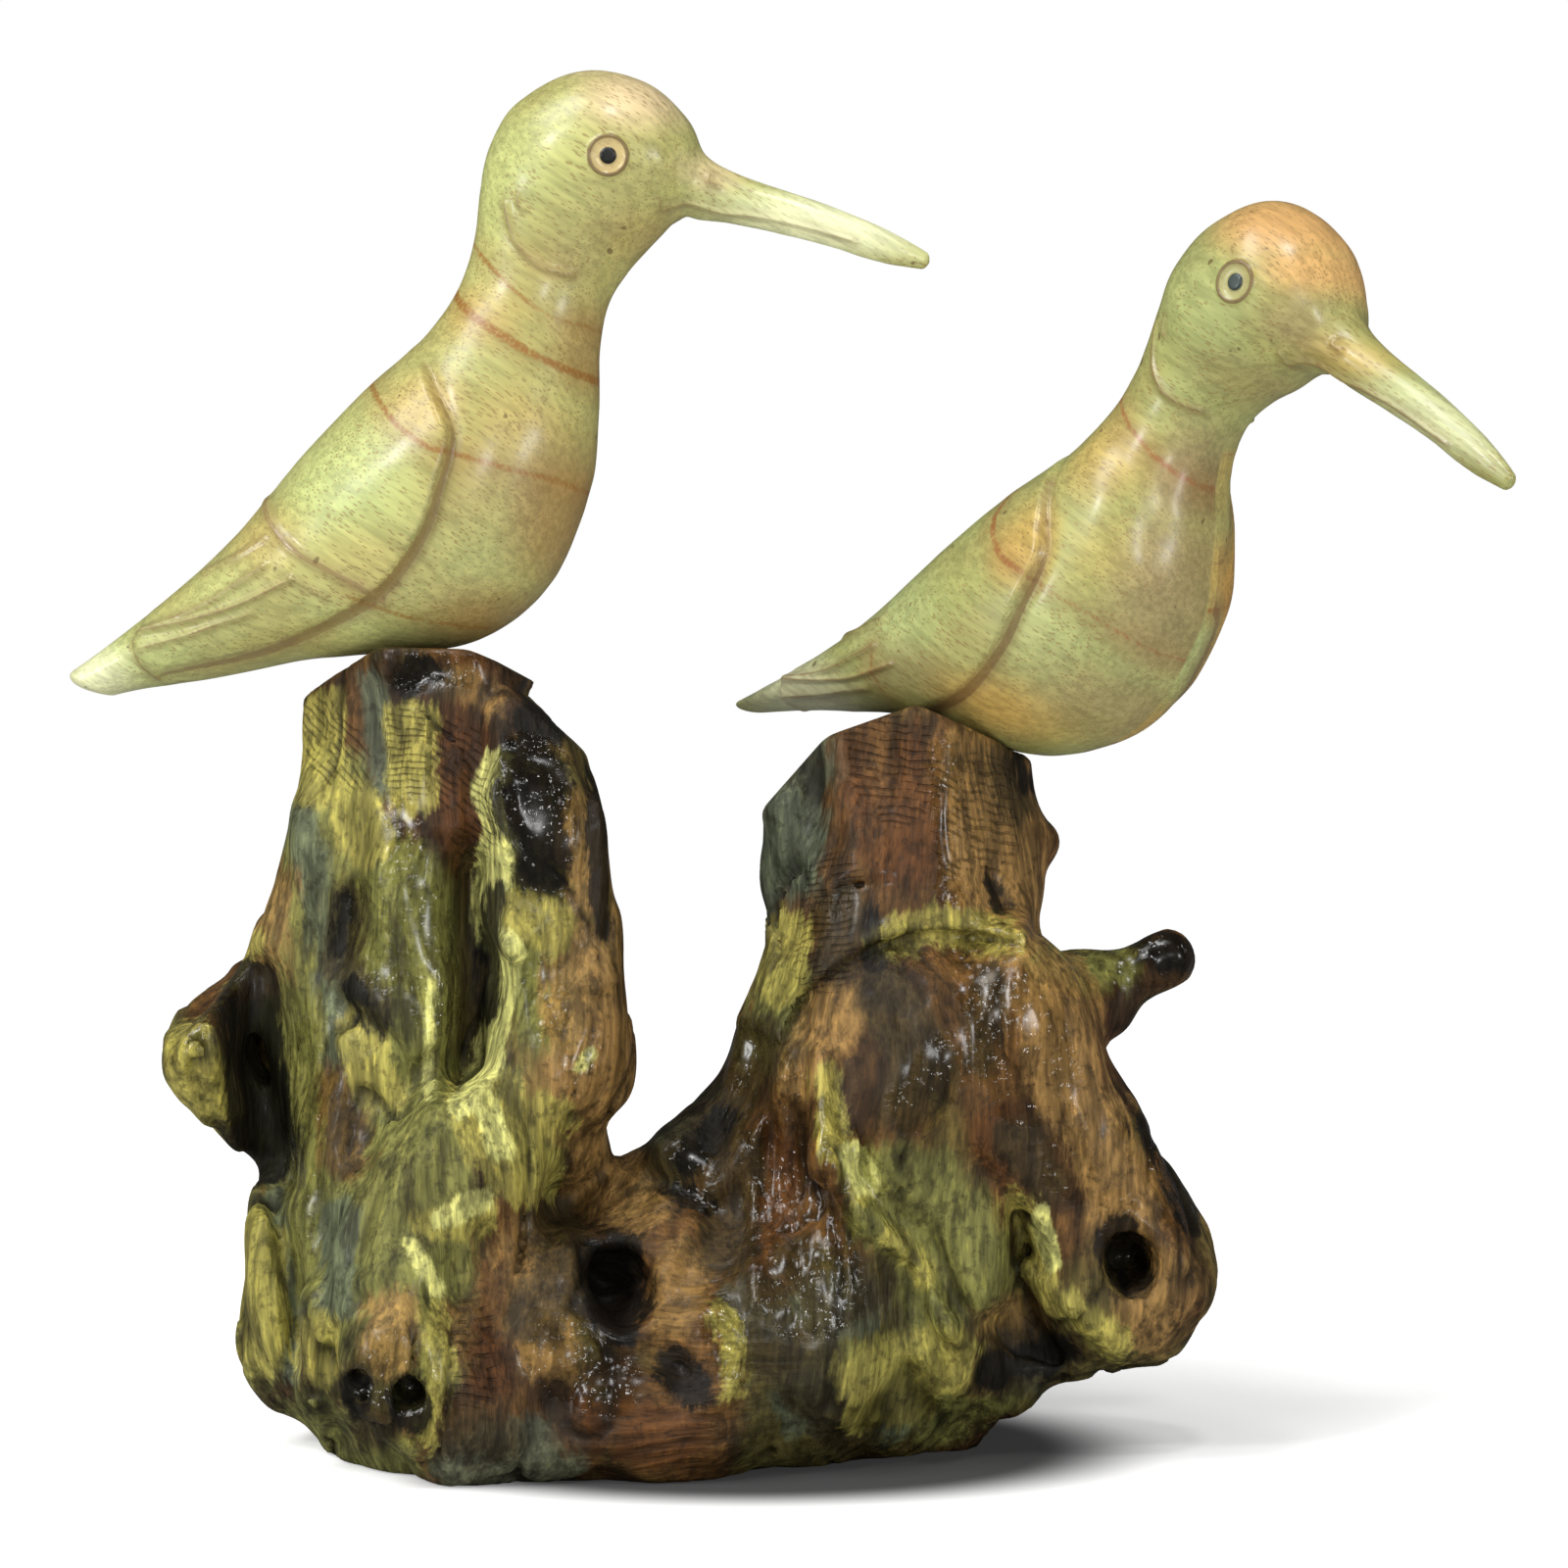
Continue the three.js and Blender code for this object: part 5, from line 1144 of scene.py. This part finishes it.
class Bench:
    """Lays the nodes of one material, shared group or world."""

    def __init__(self, tree):
        self.tree = tree

    def fill(self, node, inputs):
        """Links or sets a node's inputs and gives back its outputs."""
        for name, value in inputs.items():
            if isinstance(value, bpy.types.NodeSocket):
                self.tree.links.new(value, node.inputs[name])
            elif isinstance(value, Color):
                node.inputs[name].default_value = (*value, 1.0)
            else:
                node.inputs[name].default_value = value
        return node.outputs

    def lay(self, kind, inputs=None, out=0, **settings):
        """Lays one node and gives back one of its outputs."""
        node = self.tree.nodes.new("ShaderNode" + kind)
        for name, value in settings.items():
            setattr(node, name, value)
        return self.fill(node, inputs or {})[out]

    def shared(self, name, **inputs):
        """Places a shared group, built the first time, and gives back its outputs."""
        group = bpy.data.node_groups.get(name)
        if group is None:
            group = bpy.data.node_groups.new(name, "ShaderNodeTree")
            build, taken, given = SHARED_GROUPS[name]
            for way, sockets in (("INPUT", taken), ("OUTPUT", given)):
                for socket in sockets:
                    kind = "NodeSocketVector" if socket == "Vector" else "NodeSocketFloat"
                    group.interface.new_socket(socket, in_out=way, socket_type=kind)
            inside = group.nodes.new("NodeGroupInput").outputs
            bench = Bench(group)
            bench.fill(group.nodes.new("NodeGroupOutput"), build(bench, inside))
        node = self.tree.nodes.new("ShaderNodeGroup")
        node.node_tree = group
        return self.fill(node, inputs)

    def work_out(self, operation, a, b=0.0, c=0.0):
        return self.lay("Math", {0: a, 1: b, 2: c}, operation=operation)

    def times(self, a, b):
        return self.work_out("MULTIPLY", a, b)

    def times_plus(self, a, b, c):
        return self.work_out("MULTIPLY_ADD", a, b, c)

    def minus(self, a, b):
        return self.work_out("SUBTRACT", a, b)

    def larger(self, a, b):
        return self.work_out("MAXIMUM", a, b)

    def fade(self, value, start, end, first=0.0, last=1.0):
        """From one number to another as a value passes between two limits."""
        inputs = {0: value, 1: start, 2: end, 3: first, 4: last}
        return self.lay("MapRange", inputs, interpolation_type="SMOOTHSTEP")

    def vectors(self, operation, a, b):
        return self.lay("VectorMath", {0: a, 1: b}, operation=operation)

    def scaled(self, vector, scale):
        return self.lay("VectorMath", {0: vector, "Scale": scale}, operation="SCALE")

    def turned(self, vector, x=0.0, y=0.0, z=0.0):
        """A vector turned by an angle in degrees."""
        turn = (math.radians(x), math.radians(y), math.radians(z))
        return self.lay("Mapping", {"Vector": vector, "Rotation": turn})

    def cloud(self, vector, scale, detail=2.0, roughness=0.5):
        """Soft noise; a scale of three numbers stretches it."""
        if isinstance(scale, tuple):
            vector, scale = self.vectors("MULTIPLY", vector, scale), 1.0
        return self.lay("TexNoise", {
            "Vector": vector, "Scale": scale, "Detail": detail, "Roughness": roughness})

    def mask(self, name):
        return self.lay("Attribute", out="Fac", attribute_name=name)

    def grey(self, tone):
        return self.lay("CombineColor", {0: tone, 1: tone, 2: tone})

    def coat(self, share, under, over, blend="MIX"):
        """Lays one colour over another."""
        inputs = {0: share, 6: under, 7: over}
        return self.lay("Mix", inputs, 2, data_type="RGBA", blend_type=blend)

    def patch(self, vector, distance, raggedness, softness):
        """Where the distance of that name is below zero, with a ragged edge."""
        return self.shared("ragged_patch", Vector=vector, Distance=self.mask(distance),
                           Raggedness=raggedness, Softness=softness)["Mask"]


def fibre_grain(bench, inside):
    """Streaks, pores and soft clouds of wood whose fibres run along X."""
    vector = inside["Vector"]
    cells = bench.lay("TexVoronoi", {
        "Vector": bench.vectors("MULTIPLY", vector, (520, 2300, 2300)), "Scale": 1.0,
    }, feature="F1")
    depth = bench.times_plus(bench.cloud(vector, 140.0, 1.0), -0.34, 0.42)
    return {
        "Streak": bench.cloud(vector, (90, 1100, 1100), 3.0, 0.6),
        "Band": bench.cloud(vector, (30, 260, 260)),
        "Pore": bench.fade(bench.minus(cells, depth), 0.0, 0.06, 1.0, 0.0),
        "Cloud": bench.cloud(vector, 55.0, 2.0, 0.55),
    }


def ragged_patch(bench, inside):
    """A patch whose edge wanders: 1 where the distance, in millimetres, is below zero."""
    wander = bench.minus(bench.cloud(inside["Vector"], (90, 330, 330), 5.0, 0.72), 0.5)
    distance = bench.times_plus(wander, inside["Raggedness"], inside["Distance"])
    soft = inside["Softness"]
    return {"Mask": bench.fade(distance, bench.times(soft, -1.0), soft, 1.0, 0.0)}


def varnish_skin(bench, inside):
    """Dimples, small ripples and runs of a hand-laid varnish."""
    vector = bench.scaled(inside["Vector"], inside["Closeness"])
    cells = bench.lay("TexVoronoi", {"Vector": vector, "Scale": 430.0}, feature="F1")
    ripple = bench.cloud(vector, 900.0, 2.0, 0.55)
    height = bench.times_plus(ripple, 0.14, bench.times(cells, cells))
    return {"Height": bench.times_plus(bench.cloud(vector, 260.0), 0.7, height)}


# Each shared group: what builds it, what it takes and what it gives
SHARED_GROUPS = {
    "fibre_grain": (fibre_grain, ("Vector",), ("Streak", "Band", "Pore", "Cloud")),
    "ragged_patch": (ragged_patch, ("Vector", "Distance", "Raggedness", "Softness"), ("Mask",)),
    "varnish_skin": (varnish_skin, ("Vector", "Closeness"), ("Height",)),
}


def start_material(name):
    """A new material, the bench for its nodes, its shader and the place on the piece."""
    material = bpy.data.materials.new(name)
    material.use_nodes = True
    tree = material.node_tree
    tree.nodes.clear()
    shader = tree.nodes.new("ShaderNodeBsdfPrincipled")
    output = tree.nodes.new("ShaderNodeOutputMaterial")
    tree.links.new(shader.outputs[0], output.inputs[0])
    bench = Bench(tree)
    return material, bench, shader, bench.lay("TexCoord", out="Object")


def bird_finish(name, bird, colours):
    """Pale close-grained wood under a thin satin varnish, brown left in the cuts."""
    material, bench, shader, place = start_material(name)
    coat, fade, times, mask = bench.coat, bench.fade, bench.times, bench.mask
    fibres = bench.turned(bench.turned(place, z=-bird["yaw"]), y=FIBRE_SLANT)
    grain = bench.shared("fibre_grain", Vector=fibres)

    # Warm clouds, the soft spots of colour with the painted shade among them, the grain and the
    # pores
    wood = coat(fade(grain["Cloud"], 0.36, 0.64), colours.wood, colours.warm)
    for spot, most in BIRD_SPOT_SHARES.items():
        wood = coat(times(mask(spot), most), wood, getattr(colours, spot))
    tone = times(fade(grain["Streak"], 0.3, 0.7, 0.8, 1.12),
                 fade(grain["Band"], 0.3, 0.7, 0.92, 1.06))
    wood = coat(1.0, wood, bench.grey(tone), "MULTIPLY")
    pore = times(grain["Pore"], fade(mask("cream"), 0.0, 0.8, 0.6, 0.2))
    wood = coat(pore, wood, PORE)

    # Growth rings with a halo, and the brown in the cuts
    speckle = fade(bench.cloud(fibres, 1500.0, 1.0), 0.35, 0.55, 0.6, 0.95)
    band = times(bench.patch(place, "band_mm", 1.1, 0.45), speckle)
    halo = fade(mask("band_mm"), 0.0, 4.0, 0.22, 0.0)
    wood = coat(bench.larger(band, halo), wood, colours.ring)
    stain = times(bench.patch(place, "stain_mm", 0.5, 0.16), 0.7)
    # A faint brown that fades out round the cuts
    brown_fringe = fade(mask("stain_mm"), 0.0, 1.6, 0.3, 0.0)
    wood = coat(bench.larger(stain, brown_fringe), wood, colours.stain)

    # The iris, its dark ring and the pupil, and a few brown dots
    eye, ring, pupil = mask("eye_mm"), EYE["ring"], EYE["pupil"]
    wood = coat(fade(eye, ring - 0.4, ring, 0.55, 0.0), wood, colours.iris)
    off_ring = bench.work_out("ABSOLUTE", bench.minus(eye, ring))
    wood = coat(fade(off_ring, 0.16, 0.42, 0.85, 0.0), wood, EYE_RING)
    wood = coat(fade(eye, pupil - 0.1, pupil + 0.12, 1.0, 0.0), wood, colours.pupil)
    dots = fade(bench.cloud(place, 420.0, 1.0, 0.3), 0.765, 0.8)
    wood = coat(times(dots, 0.7), wood, BROWN_DOT)

    # The grain and the pores show through a thin varnish
    varnish = bench.shared("varnish_skin", Vector=place, Closeness=1.0)
    height = bench.times_plus(grain["Streak"], 0.5, times(varnish["Height"], 0.25))
    height = bench.minus(height, times(pore, 0.6))
    bench.fill(shader, {
        "Base Color": wood,
        "Normal": bench.lay("Bump", {"Strength": 0.35, "Distance": 0.00012, "Height": height}),
        "Roughness": fade(grain["Streak"], 0.25, 0.75, 0.34, 0.46),
        "Coat Weight": 0.35,
        "Coat Roughness": 0.22,
    })
    return material


def root_finish(name, colours):
    """Weathered root wood, moss-green to rust, under a thick wet-looking varnish."""
    material, bench, shader, place = start_material(name)
    coat, fade, times, mask, cloud = (
        bench.coat, bench.fade, bench.times, bench.mask, bench.cloud)

    # Fibres that stand in the trunks and lie in the bridge
    sway = bench.lay("TexNoise", {"Vector": place, "Scale": 45.0, "Detail": 1.0}, "Color")
    sway = bench.scaled(bench.vectors("SUBTRACT", sway, (0.5, 0.5, 0.5)), FIBRE_SWAY)
    flat = bench.vectors("ADD", place, sway)
    standing = bench.vectors("ADD", bench.turned(place, y=90.0), sway)
    lying = mask("lying")
    ways = [(bench.shared("fibre_grain", Vector=way)["Streak"],
             cloud(way, (55, 420, 420), 3.0, 0.6)) for way in (standing, flat)]
    streak, coarse = (bench.lay("Mix", {0: lying, 2: a, 3: b}) for a, b in zip(*ways))

    # Brown wood, mossier on the back, under the colours drawn on the front. Umber and black among
    # them are partly painted shade, grey partly a painted sheen
    wood = coat(fade(cloud(place, 38.0, 3.0, 0.6), 0.42, 0.58), colours.brown,
                colours.dark_brown)
    squat = bench.vectors("MULTIPLY", place, (1, 1, 0.6))
    mossy = fade(cloud(squat, 30.0, 3.0, 0.6), 0.5, 0.6)
    back = fade(bench.minus(1.0, mask("front")), 0, 1, 0.35, 0.8)
    wood = coat(times(mossy, back), wood, colours.olive)
    for colour, raggedness, softness, most in ROOT_LAYERS:
        patch = bench.patch(standing, colour + "_mm", raggedness, softness)
        wood = coat(times(patch, most), wood, getattr(colours, colour))

    # Light and dark along the fibres, golden strands painted as glints, grime and the cracks
    tone = times(fade(streak, 0.32, 0.68, 0.7, 1.24), fade(coarse, 0.34, 0.64, 0.55, 1.25))
    wood = coat(1.0, wood, bench.grey(tone), "MULTIPLY")
    gold_glint = fade(cloud(standing, (260, 900, 900), 2.0, 0.6), 0.56, 0.7, 0.0, 0.4)
    wood = coat(gold_glint, wood, coat(1.0, wood, GLINT_GOLD, "MULTIPLY"))
    grime = fade(cloud(place, 520.0, 3.0, 0.7), 0.5, 0.66, 0.0, 0.5)
    blotch = fade(cloud(standing, (70, 170, 170), 4.0, 0.7), 0.52, 0.64, 0.0, 0.6)
    wood = coat(bench.larger(grime, blotch), wood, GRIME)
    wood = coat(times(mask("fissure"), 0.8), wood, FISSURE_DARK)

    # The rasp's marks, broken and a little wavy
    on_rasp = fade(mask("rasp_mm"), -1.2, 0.6, 1.0, 0.0)
    phase = bench.work_out("ADD", mask("rasp_mark"), times(cloud(place, 160.0), 2.2))
    wave = bench.work_out("SINE", times(phase, 2 * math.pi))
    broken = fade(cloud(place, 420.0), 0.36, 0.56)
    mark = times(times(on_rasp, broken), fade(wave, 0.35, 1.0))
    wood = coat(times(mark, 0.4), wood, RASP_DARK)

    # The varnish hides the fibres where it lies thick and wet
    damp = fade(cloud(place, 70.0, 3.0, 0.6), 0.5, 0.68, 0.0, 0.4)
    wet = bench.larger(bench.patch(place, "wet_mm", 7.0, 1.8), damp)
    varnish = bench.shared("varnish_skin", Vector=place, Closeness=1.5)
    fibrous = bench.times_plus(coarse, 1.6, times(streak, 0.8))
    dry = bench.times_plus(wet, -0.75, 1.0)
    height = bench.times_plus(fibrous, dry, times(varnish["Height"], wet))
    height = bench.times_plus(mark, -0.8, height)
    bench.fill(shader, {
        "Base Color": wood,
        "Normal": bench.lay("Bump", {"Strength": 0.85, "Distance": 0.0005, "Height": height}),
        "Roughness": fade(wet, 0.1, 0.7, 0.6, 0.07),
        "Coat Weight": times(wet, 0.5),
        "Coat Roughness": 0.2,
        "Specular IOR Level": 0.22,
    })
    return material


def floor_finish(colour):
    """A white floor with a soft shadow painted under the root, dim in the varnish."""
    material, bench, shader, place = start_material("pale_floor")
    tone = bench.fade(bench.lay("LightPath", out="Is Glossy Ray"), 0.0, 1.0, 1.0, 0.12)
    # Pools of shadow painted round the root's foot darken the floor's colour and its glow
    for middle, size, near, far, darkest in PAINTED_FLOOR_SHADOWS:
        under = bench.lay("Mapping", {
            "Vector": place, "Location": middle, "Scale": size}, vector_type="TEXTURE")
        away = bench.lay("VectorMath", {0: under}, "Value", operation="LENGTH")
        tone = bench.times(tone, bench.fade(away, near, far, darkest, 1.0))
    glow = bench.times(tone, bench.lay("LightPath", out="Is Camera Ray"))
    bench.fill(shader, {
        "Base Color": bench.coat(1.0, colour, bench.grey(tone), "MULTIPLY"),
        "Emission Color": bench.grey(glow),
        "Emission Strength": FLOOR_GLOW,
        "Roughness": 0.9,
        "Specular IOR Level": 0.1,
    })
    return material


# Settings


def colour_of(name, description, red, green, blue):
    return bpy.props.FloatVectorProperty(
        name=name, description=description, subtype="COLOR", min=0.0, max=1.0,
        default=paint(red, green, blue)[:3])


class LeftBirdColours(bpy.types.PropertyGroup):
    """The colours of the left bird's wood."""

    wood: colour_of("Wood", "The bird's wood in general", 186, 187, 116)
    warm: colour_of("Warm wood", "The warmer clouds in the wood", 180, 175, 106)
    pale: colour_of("Pale wood", "The wing, the bill and the tail", 190, 202, 128)
    cream: colour_of("Cream", "The bill's end", 244, 246, 198)
    amber: colour_of("Amber", "The shoulder and the feathers' roots", 204, 172, 96)
    blush: colour_of("Blush", "The brow and the crown", 238, 210, 166)
    # The shade is painted shade on the breast, under the jaw and under the belly, over browner wood
    shade: colour_of("Shade", "The breast and the throat", 168, 138, 84)
    ring: colour_of("Growth ring", "The lines that cross the breast", 150, 102, 42)
    stain: colour_of("Stain", "The brown left in the cuts", 134, 106, 68)
    iris: colour_of("Iris", "The ring round the pupil", 214, 180, 130)
    pupil: colour_of("Pupil", "The middle of the eye", 26, 26, 22)


class RightBirdColours(bpy.types.PropertyGroup):
    """The colours of the right bird's wood."""

    wood: colour_of("Wood", "The bird's wood in general", 164, 169, 102)
    warm: colour_of("Warm wood", "The warmer clouds in the wood", 166, 162, 97)
    pale: colour_of("Pale wood", "The wing, the bill and the tail", 179, 190, 127)
    # On the tail the cream is partly painted light over its shaded underside
    cream: colour_of("Cream", "The bill's end and the tail's edge", 222, 224, 176)
    amber: colour_of("Amber", "The shoulder and the belly", 200, 158, 80)
    blush: colour_of("Blush", "The brow and the crown", 214, 168, 104)
    # The shade is painted shade on the breast, under the jaw and under the belly, over browner wood
    shade: colour_of("Shade", "The breast and the throat", 150, 122, 84)
    ring: colour_of("Growth ring", "The lines that cross the breast", 150, 98, 52)
    stain: colour_of("Stain", "The brown left in the cuts", 126, 92, 56)
    iris: colour_of("Iris", "The ring round the pupil", 172, 162, 112)
    pupil: colour_of("Pupil", "The middle of the eye", 56, 68, 64)


class BirdSizes(bpy.types.PropertyGroup):
    """The sizes that both birds share."""

    wing_proud: bpy.props.FloatProperty(
        name="Wing height", description="How far the folded wing stands off the flank",
        default=1.8 * MM, min=0.0, subtype="DISTANCE", unit="LENGTH")


class RootLooks(bpy.types.PropertyGroup):
    """The root's fineness and colours."""

    cell: bpy.props.FloatProperty(
        name="Fineness", description="The size of the root's smallest facets",
        default=0.92 * MM, min=0.5 * MM, subtype="DISTANCE", unit="LENGTH")
    brown: colour_of("Brown", "The bare wood", 101, 71, 36)
    dark_brown: colour_of("Dark brown", "The darker clouds in the bare wood", 60, 42, 24)
    olive: colour_of("Olive", "The mossy skin", 116, 116, 60)
    # Weathered grey, and in part a painted sheen on some facets
    grey: colour_of("Grey green", "The weathered streaks", 90, 100, 80)
    rust: colour_of("Rust", "The red-brown wood", 86, 52, 24)
    tan: colour_of("Tan", "The pale bark", 143, 111, 62)
    mustard: colour_of("Mustard", "The yellow patches", 166, 156, 76)
    pale: colour_of("Pale edge", "The scraped edges", 206, 204, 122)
    # Dark wood, and in part painted shade in the hollows and under the root
    umber_and_shade: colour_of("Umber", "The dark hollows and the underside", 60, 50, 28)
    # The tarry face's own black, and painted shade in the pits, cracks and under the burl
    black: colour_of("Black", "The pits and the tarry face", 16, 15, 12)


class StageSizes(bpy.types.PropertyGroup):
    """The floor, the light and the camera."""

    floor: colour_of("Floor", "The floor's colour", 246, 246, 246)
    floor_radius: bpy.props.FloatProperty(
        name="Floor radius", description="How far the floor reaches",
        default=6.0, min=0.5, subtype="DISTANCE", unit="LENGTH")
    daylight: bpy.props.FloatProperty(
        name="Daylight", description="The strength of the even light all round",
        default=0.31, min=0.0)
    mirrored: bpy.props.FloatProperty(
        name="Mirrored daylight", description="How bright the room is in the varnish",
        default=0.05, min=0.0)
    window: bpy.props.FloatProperty(
        name="Window", description="The strength of the light from the upper left",
        default=1.12, min=0.0)
    lens: bpy.props.FloatProperty(
        name="Lens", description="The camera's focal length",
        default=LENS, min=10.0, unit="CAMERA")


# Operators


class CARVING_OT_stage(bpy.types.Operator):
    """Lay the floor, hang the lights and set up the camera"""

    bl_idname = "carving.stage"
    bl_label = "Set the stage"

    def execute(self, context):
        scene = context.scene
        sizes = scene.stage_sizes
        mesh = bpy.data.meshes.new("floor")
        rim = [(sizes.floor_radius * math.cos(a), sizes.floor_radius * math.sin(a), 0.0)
               for a in np.linspace(0, 2 * math.pi, FLOOR_SIDES + 1)[:-1]]
        mesh.from_pydata(rim, [], [list(range(len(rim)))])
        mesh.materials.append(floor_finish(sizes.floor))
        floor = put("floor", mesh)

        # A white room that lights evenly, is dim in the varnish and white behind everything
        world = bpy.data.worlds.new("white_room")
        world.use_nodes = True
        world.node_tree.nodes.clear()
        bench = Bench(world.node_tree)
        mirrored = bench.lay("LightPath", out="Is Glossy Ray")
        strength = bench.fade(mirrored, 0.0, 1.0, sizes.daylight, sizes.mirrored)
        seen = bench.lay("LightPath", out="Is Camera Ray")
        strength = bench.fade(seen, 0.0, 1.0, strength, 1.0)
        sky = bench.lay("Background", {"Color": paint(255, 255, 255), "Strength": strength})
        bench.fill(bench.tree.nodes.new("ShaderNodeOutputWorld"), {0: sky})
        scene.world = world
        scene.view_settings.view_transform = "Standard"

        window = hang_light("window", "SUN", sizes.window, (0.0, 0.0, 0.0), Vector(WINDOW_WAY))
        window.angle = WINDOW_WIDTH
        for name, place, size, power in LAMPS:
            light = hang_light(name, "AREA", power, place, LAMPS_AIM - Vector(place))
            light.shape = "SQUARE"
            light.size = size

        camera_data = bpy.data.cameras.new("camera")
        camera_data.lens = sizes.lens
        camera_data.sensor_width = SENSOR_WIDTH
        spot = np.array((0.0, -VIEW_DISTANCE, VIEW_HEIGHT)) + GROUP_SHIFT
        camera = put("camera", camera_data, spot * MM)
        camera.rotation_euler = (math.radians(90.0), 0.0, 0.0)
        bpy.context.scene.camera = camera
        return {"FINISHED"}


class CARVING_OT_birds(bpy.types.Operator):
    """Carve and finish the two birds"""

    bl_idname = "carving.birds"
    bl_label = "Carve the birds"

    def execute(self, context):
        scene = context.scene
        for name, bird in BIRDS.items():
            points, masks = carve_bird(bird, scene.bird_sizes)
            points = (seat_bird(points, bird) + GROUP_SHIFT) * MM
            if not np.isfinite(points).all():
                raise RuntimeError(f"{name} could not be carved")
            finish = bird_finish(name + "_wood", bird, getattr(scene, name + "_colours"))
            piece = make_piece(name, points, grid_faces(), masks, finish)
            take_place(piece, bird["node"], bird["slot"])
        return {"FINISHED"}


class CARVING_OT_root(bpy.types.Operator):
    """Grow and varnish the root that the birds sit on"""

    bl_idname = "carving.root"
    bl_label = "Grow the root"

    def execute(self, context):
        looks = context.scene.root_looks
        points, faces = grid_skin(root_distance, ROOT_LOW, ROOT_HIGH, looks.cell / MM)
        if not len(points):
            raise RuntimeError("the root has no skin")
        points[:, 2] = np.maximum(points[:, 2], 0.0)
        masks = root_masks(points)
        points = clear_of_birds((points + GROUP_SHIFT) * MM)
        piece = make_piece("driftwood_root", points, [faces], masks,
                           root_finish("varnished_root_wood", looks))
        take_place(piece, "root_base", "root_wood")
        return {"FINISHED"}


class CARVING_PT_panel(bpy.types.Panel):
    """The carving's settings and steps"""

    bl_idname = "CARVING_PT_panel"
    bl_label = "Carved birds on a root"
    bl_space_type = "VIEW_3D"
    bl_region_type = "UI"
    bl_category = "Carving"

    def draw(self, context):
        for operator, groups in STEPS:
            box = self.layout.box()
            box.operator(operator)
            for group in groups:
                values = getattr(context.scene, group)
                for name in values.bl_rna.properties.keys():
                    if name not in ("rna_type", "name"):
                        box.prop(values, name)


STEPS = (
    ("carving.stage", ("stage_sizes",)),
    ("carving.birds", ("bird_sizes", "left_bird_colours", "right_bird_colours")),
    ("carving.root", ("root_looks",)),
)
SETTINGS = {
    "stage_sizes": StageSizes, "bird_sizes": BirdSizes, "left_bird_colours": LeftBirdColours,
    "right_bird_colours": RightBirdColours, "root_looks": RootLooks,
}
CLASSES = (
    *SETTINGS.values(), CARVING_OT_stage, CARVING_OT_birds, CARVING_OT_root, CARVING_PT_panel,
)


def register():
    for each in CLASSES:
        bpy.utils.register_class(each)
    for name, group in SETTINGS.items():
        setattr(bpy.types.Scene, name, bpy.props.PointerProperty(type=group))


def unregister():
    for name in SETTINGS:
        delattr(bpy.types.Scene, name)
    for each in reversed(CLASSES):
        bpy.utils.unregister_class(each)


def main():
    """Registers the add-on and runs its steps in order."""
    register()
    bpy.ops.carving.stage()
    bpy.ops.carving.birds()
    bpy.ops.carving.root()


if __name__ == "__main__":
    main()
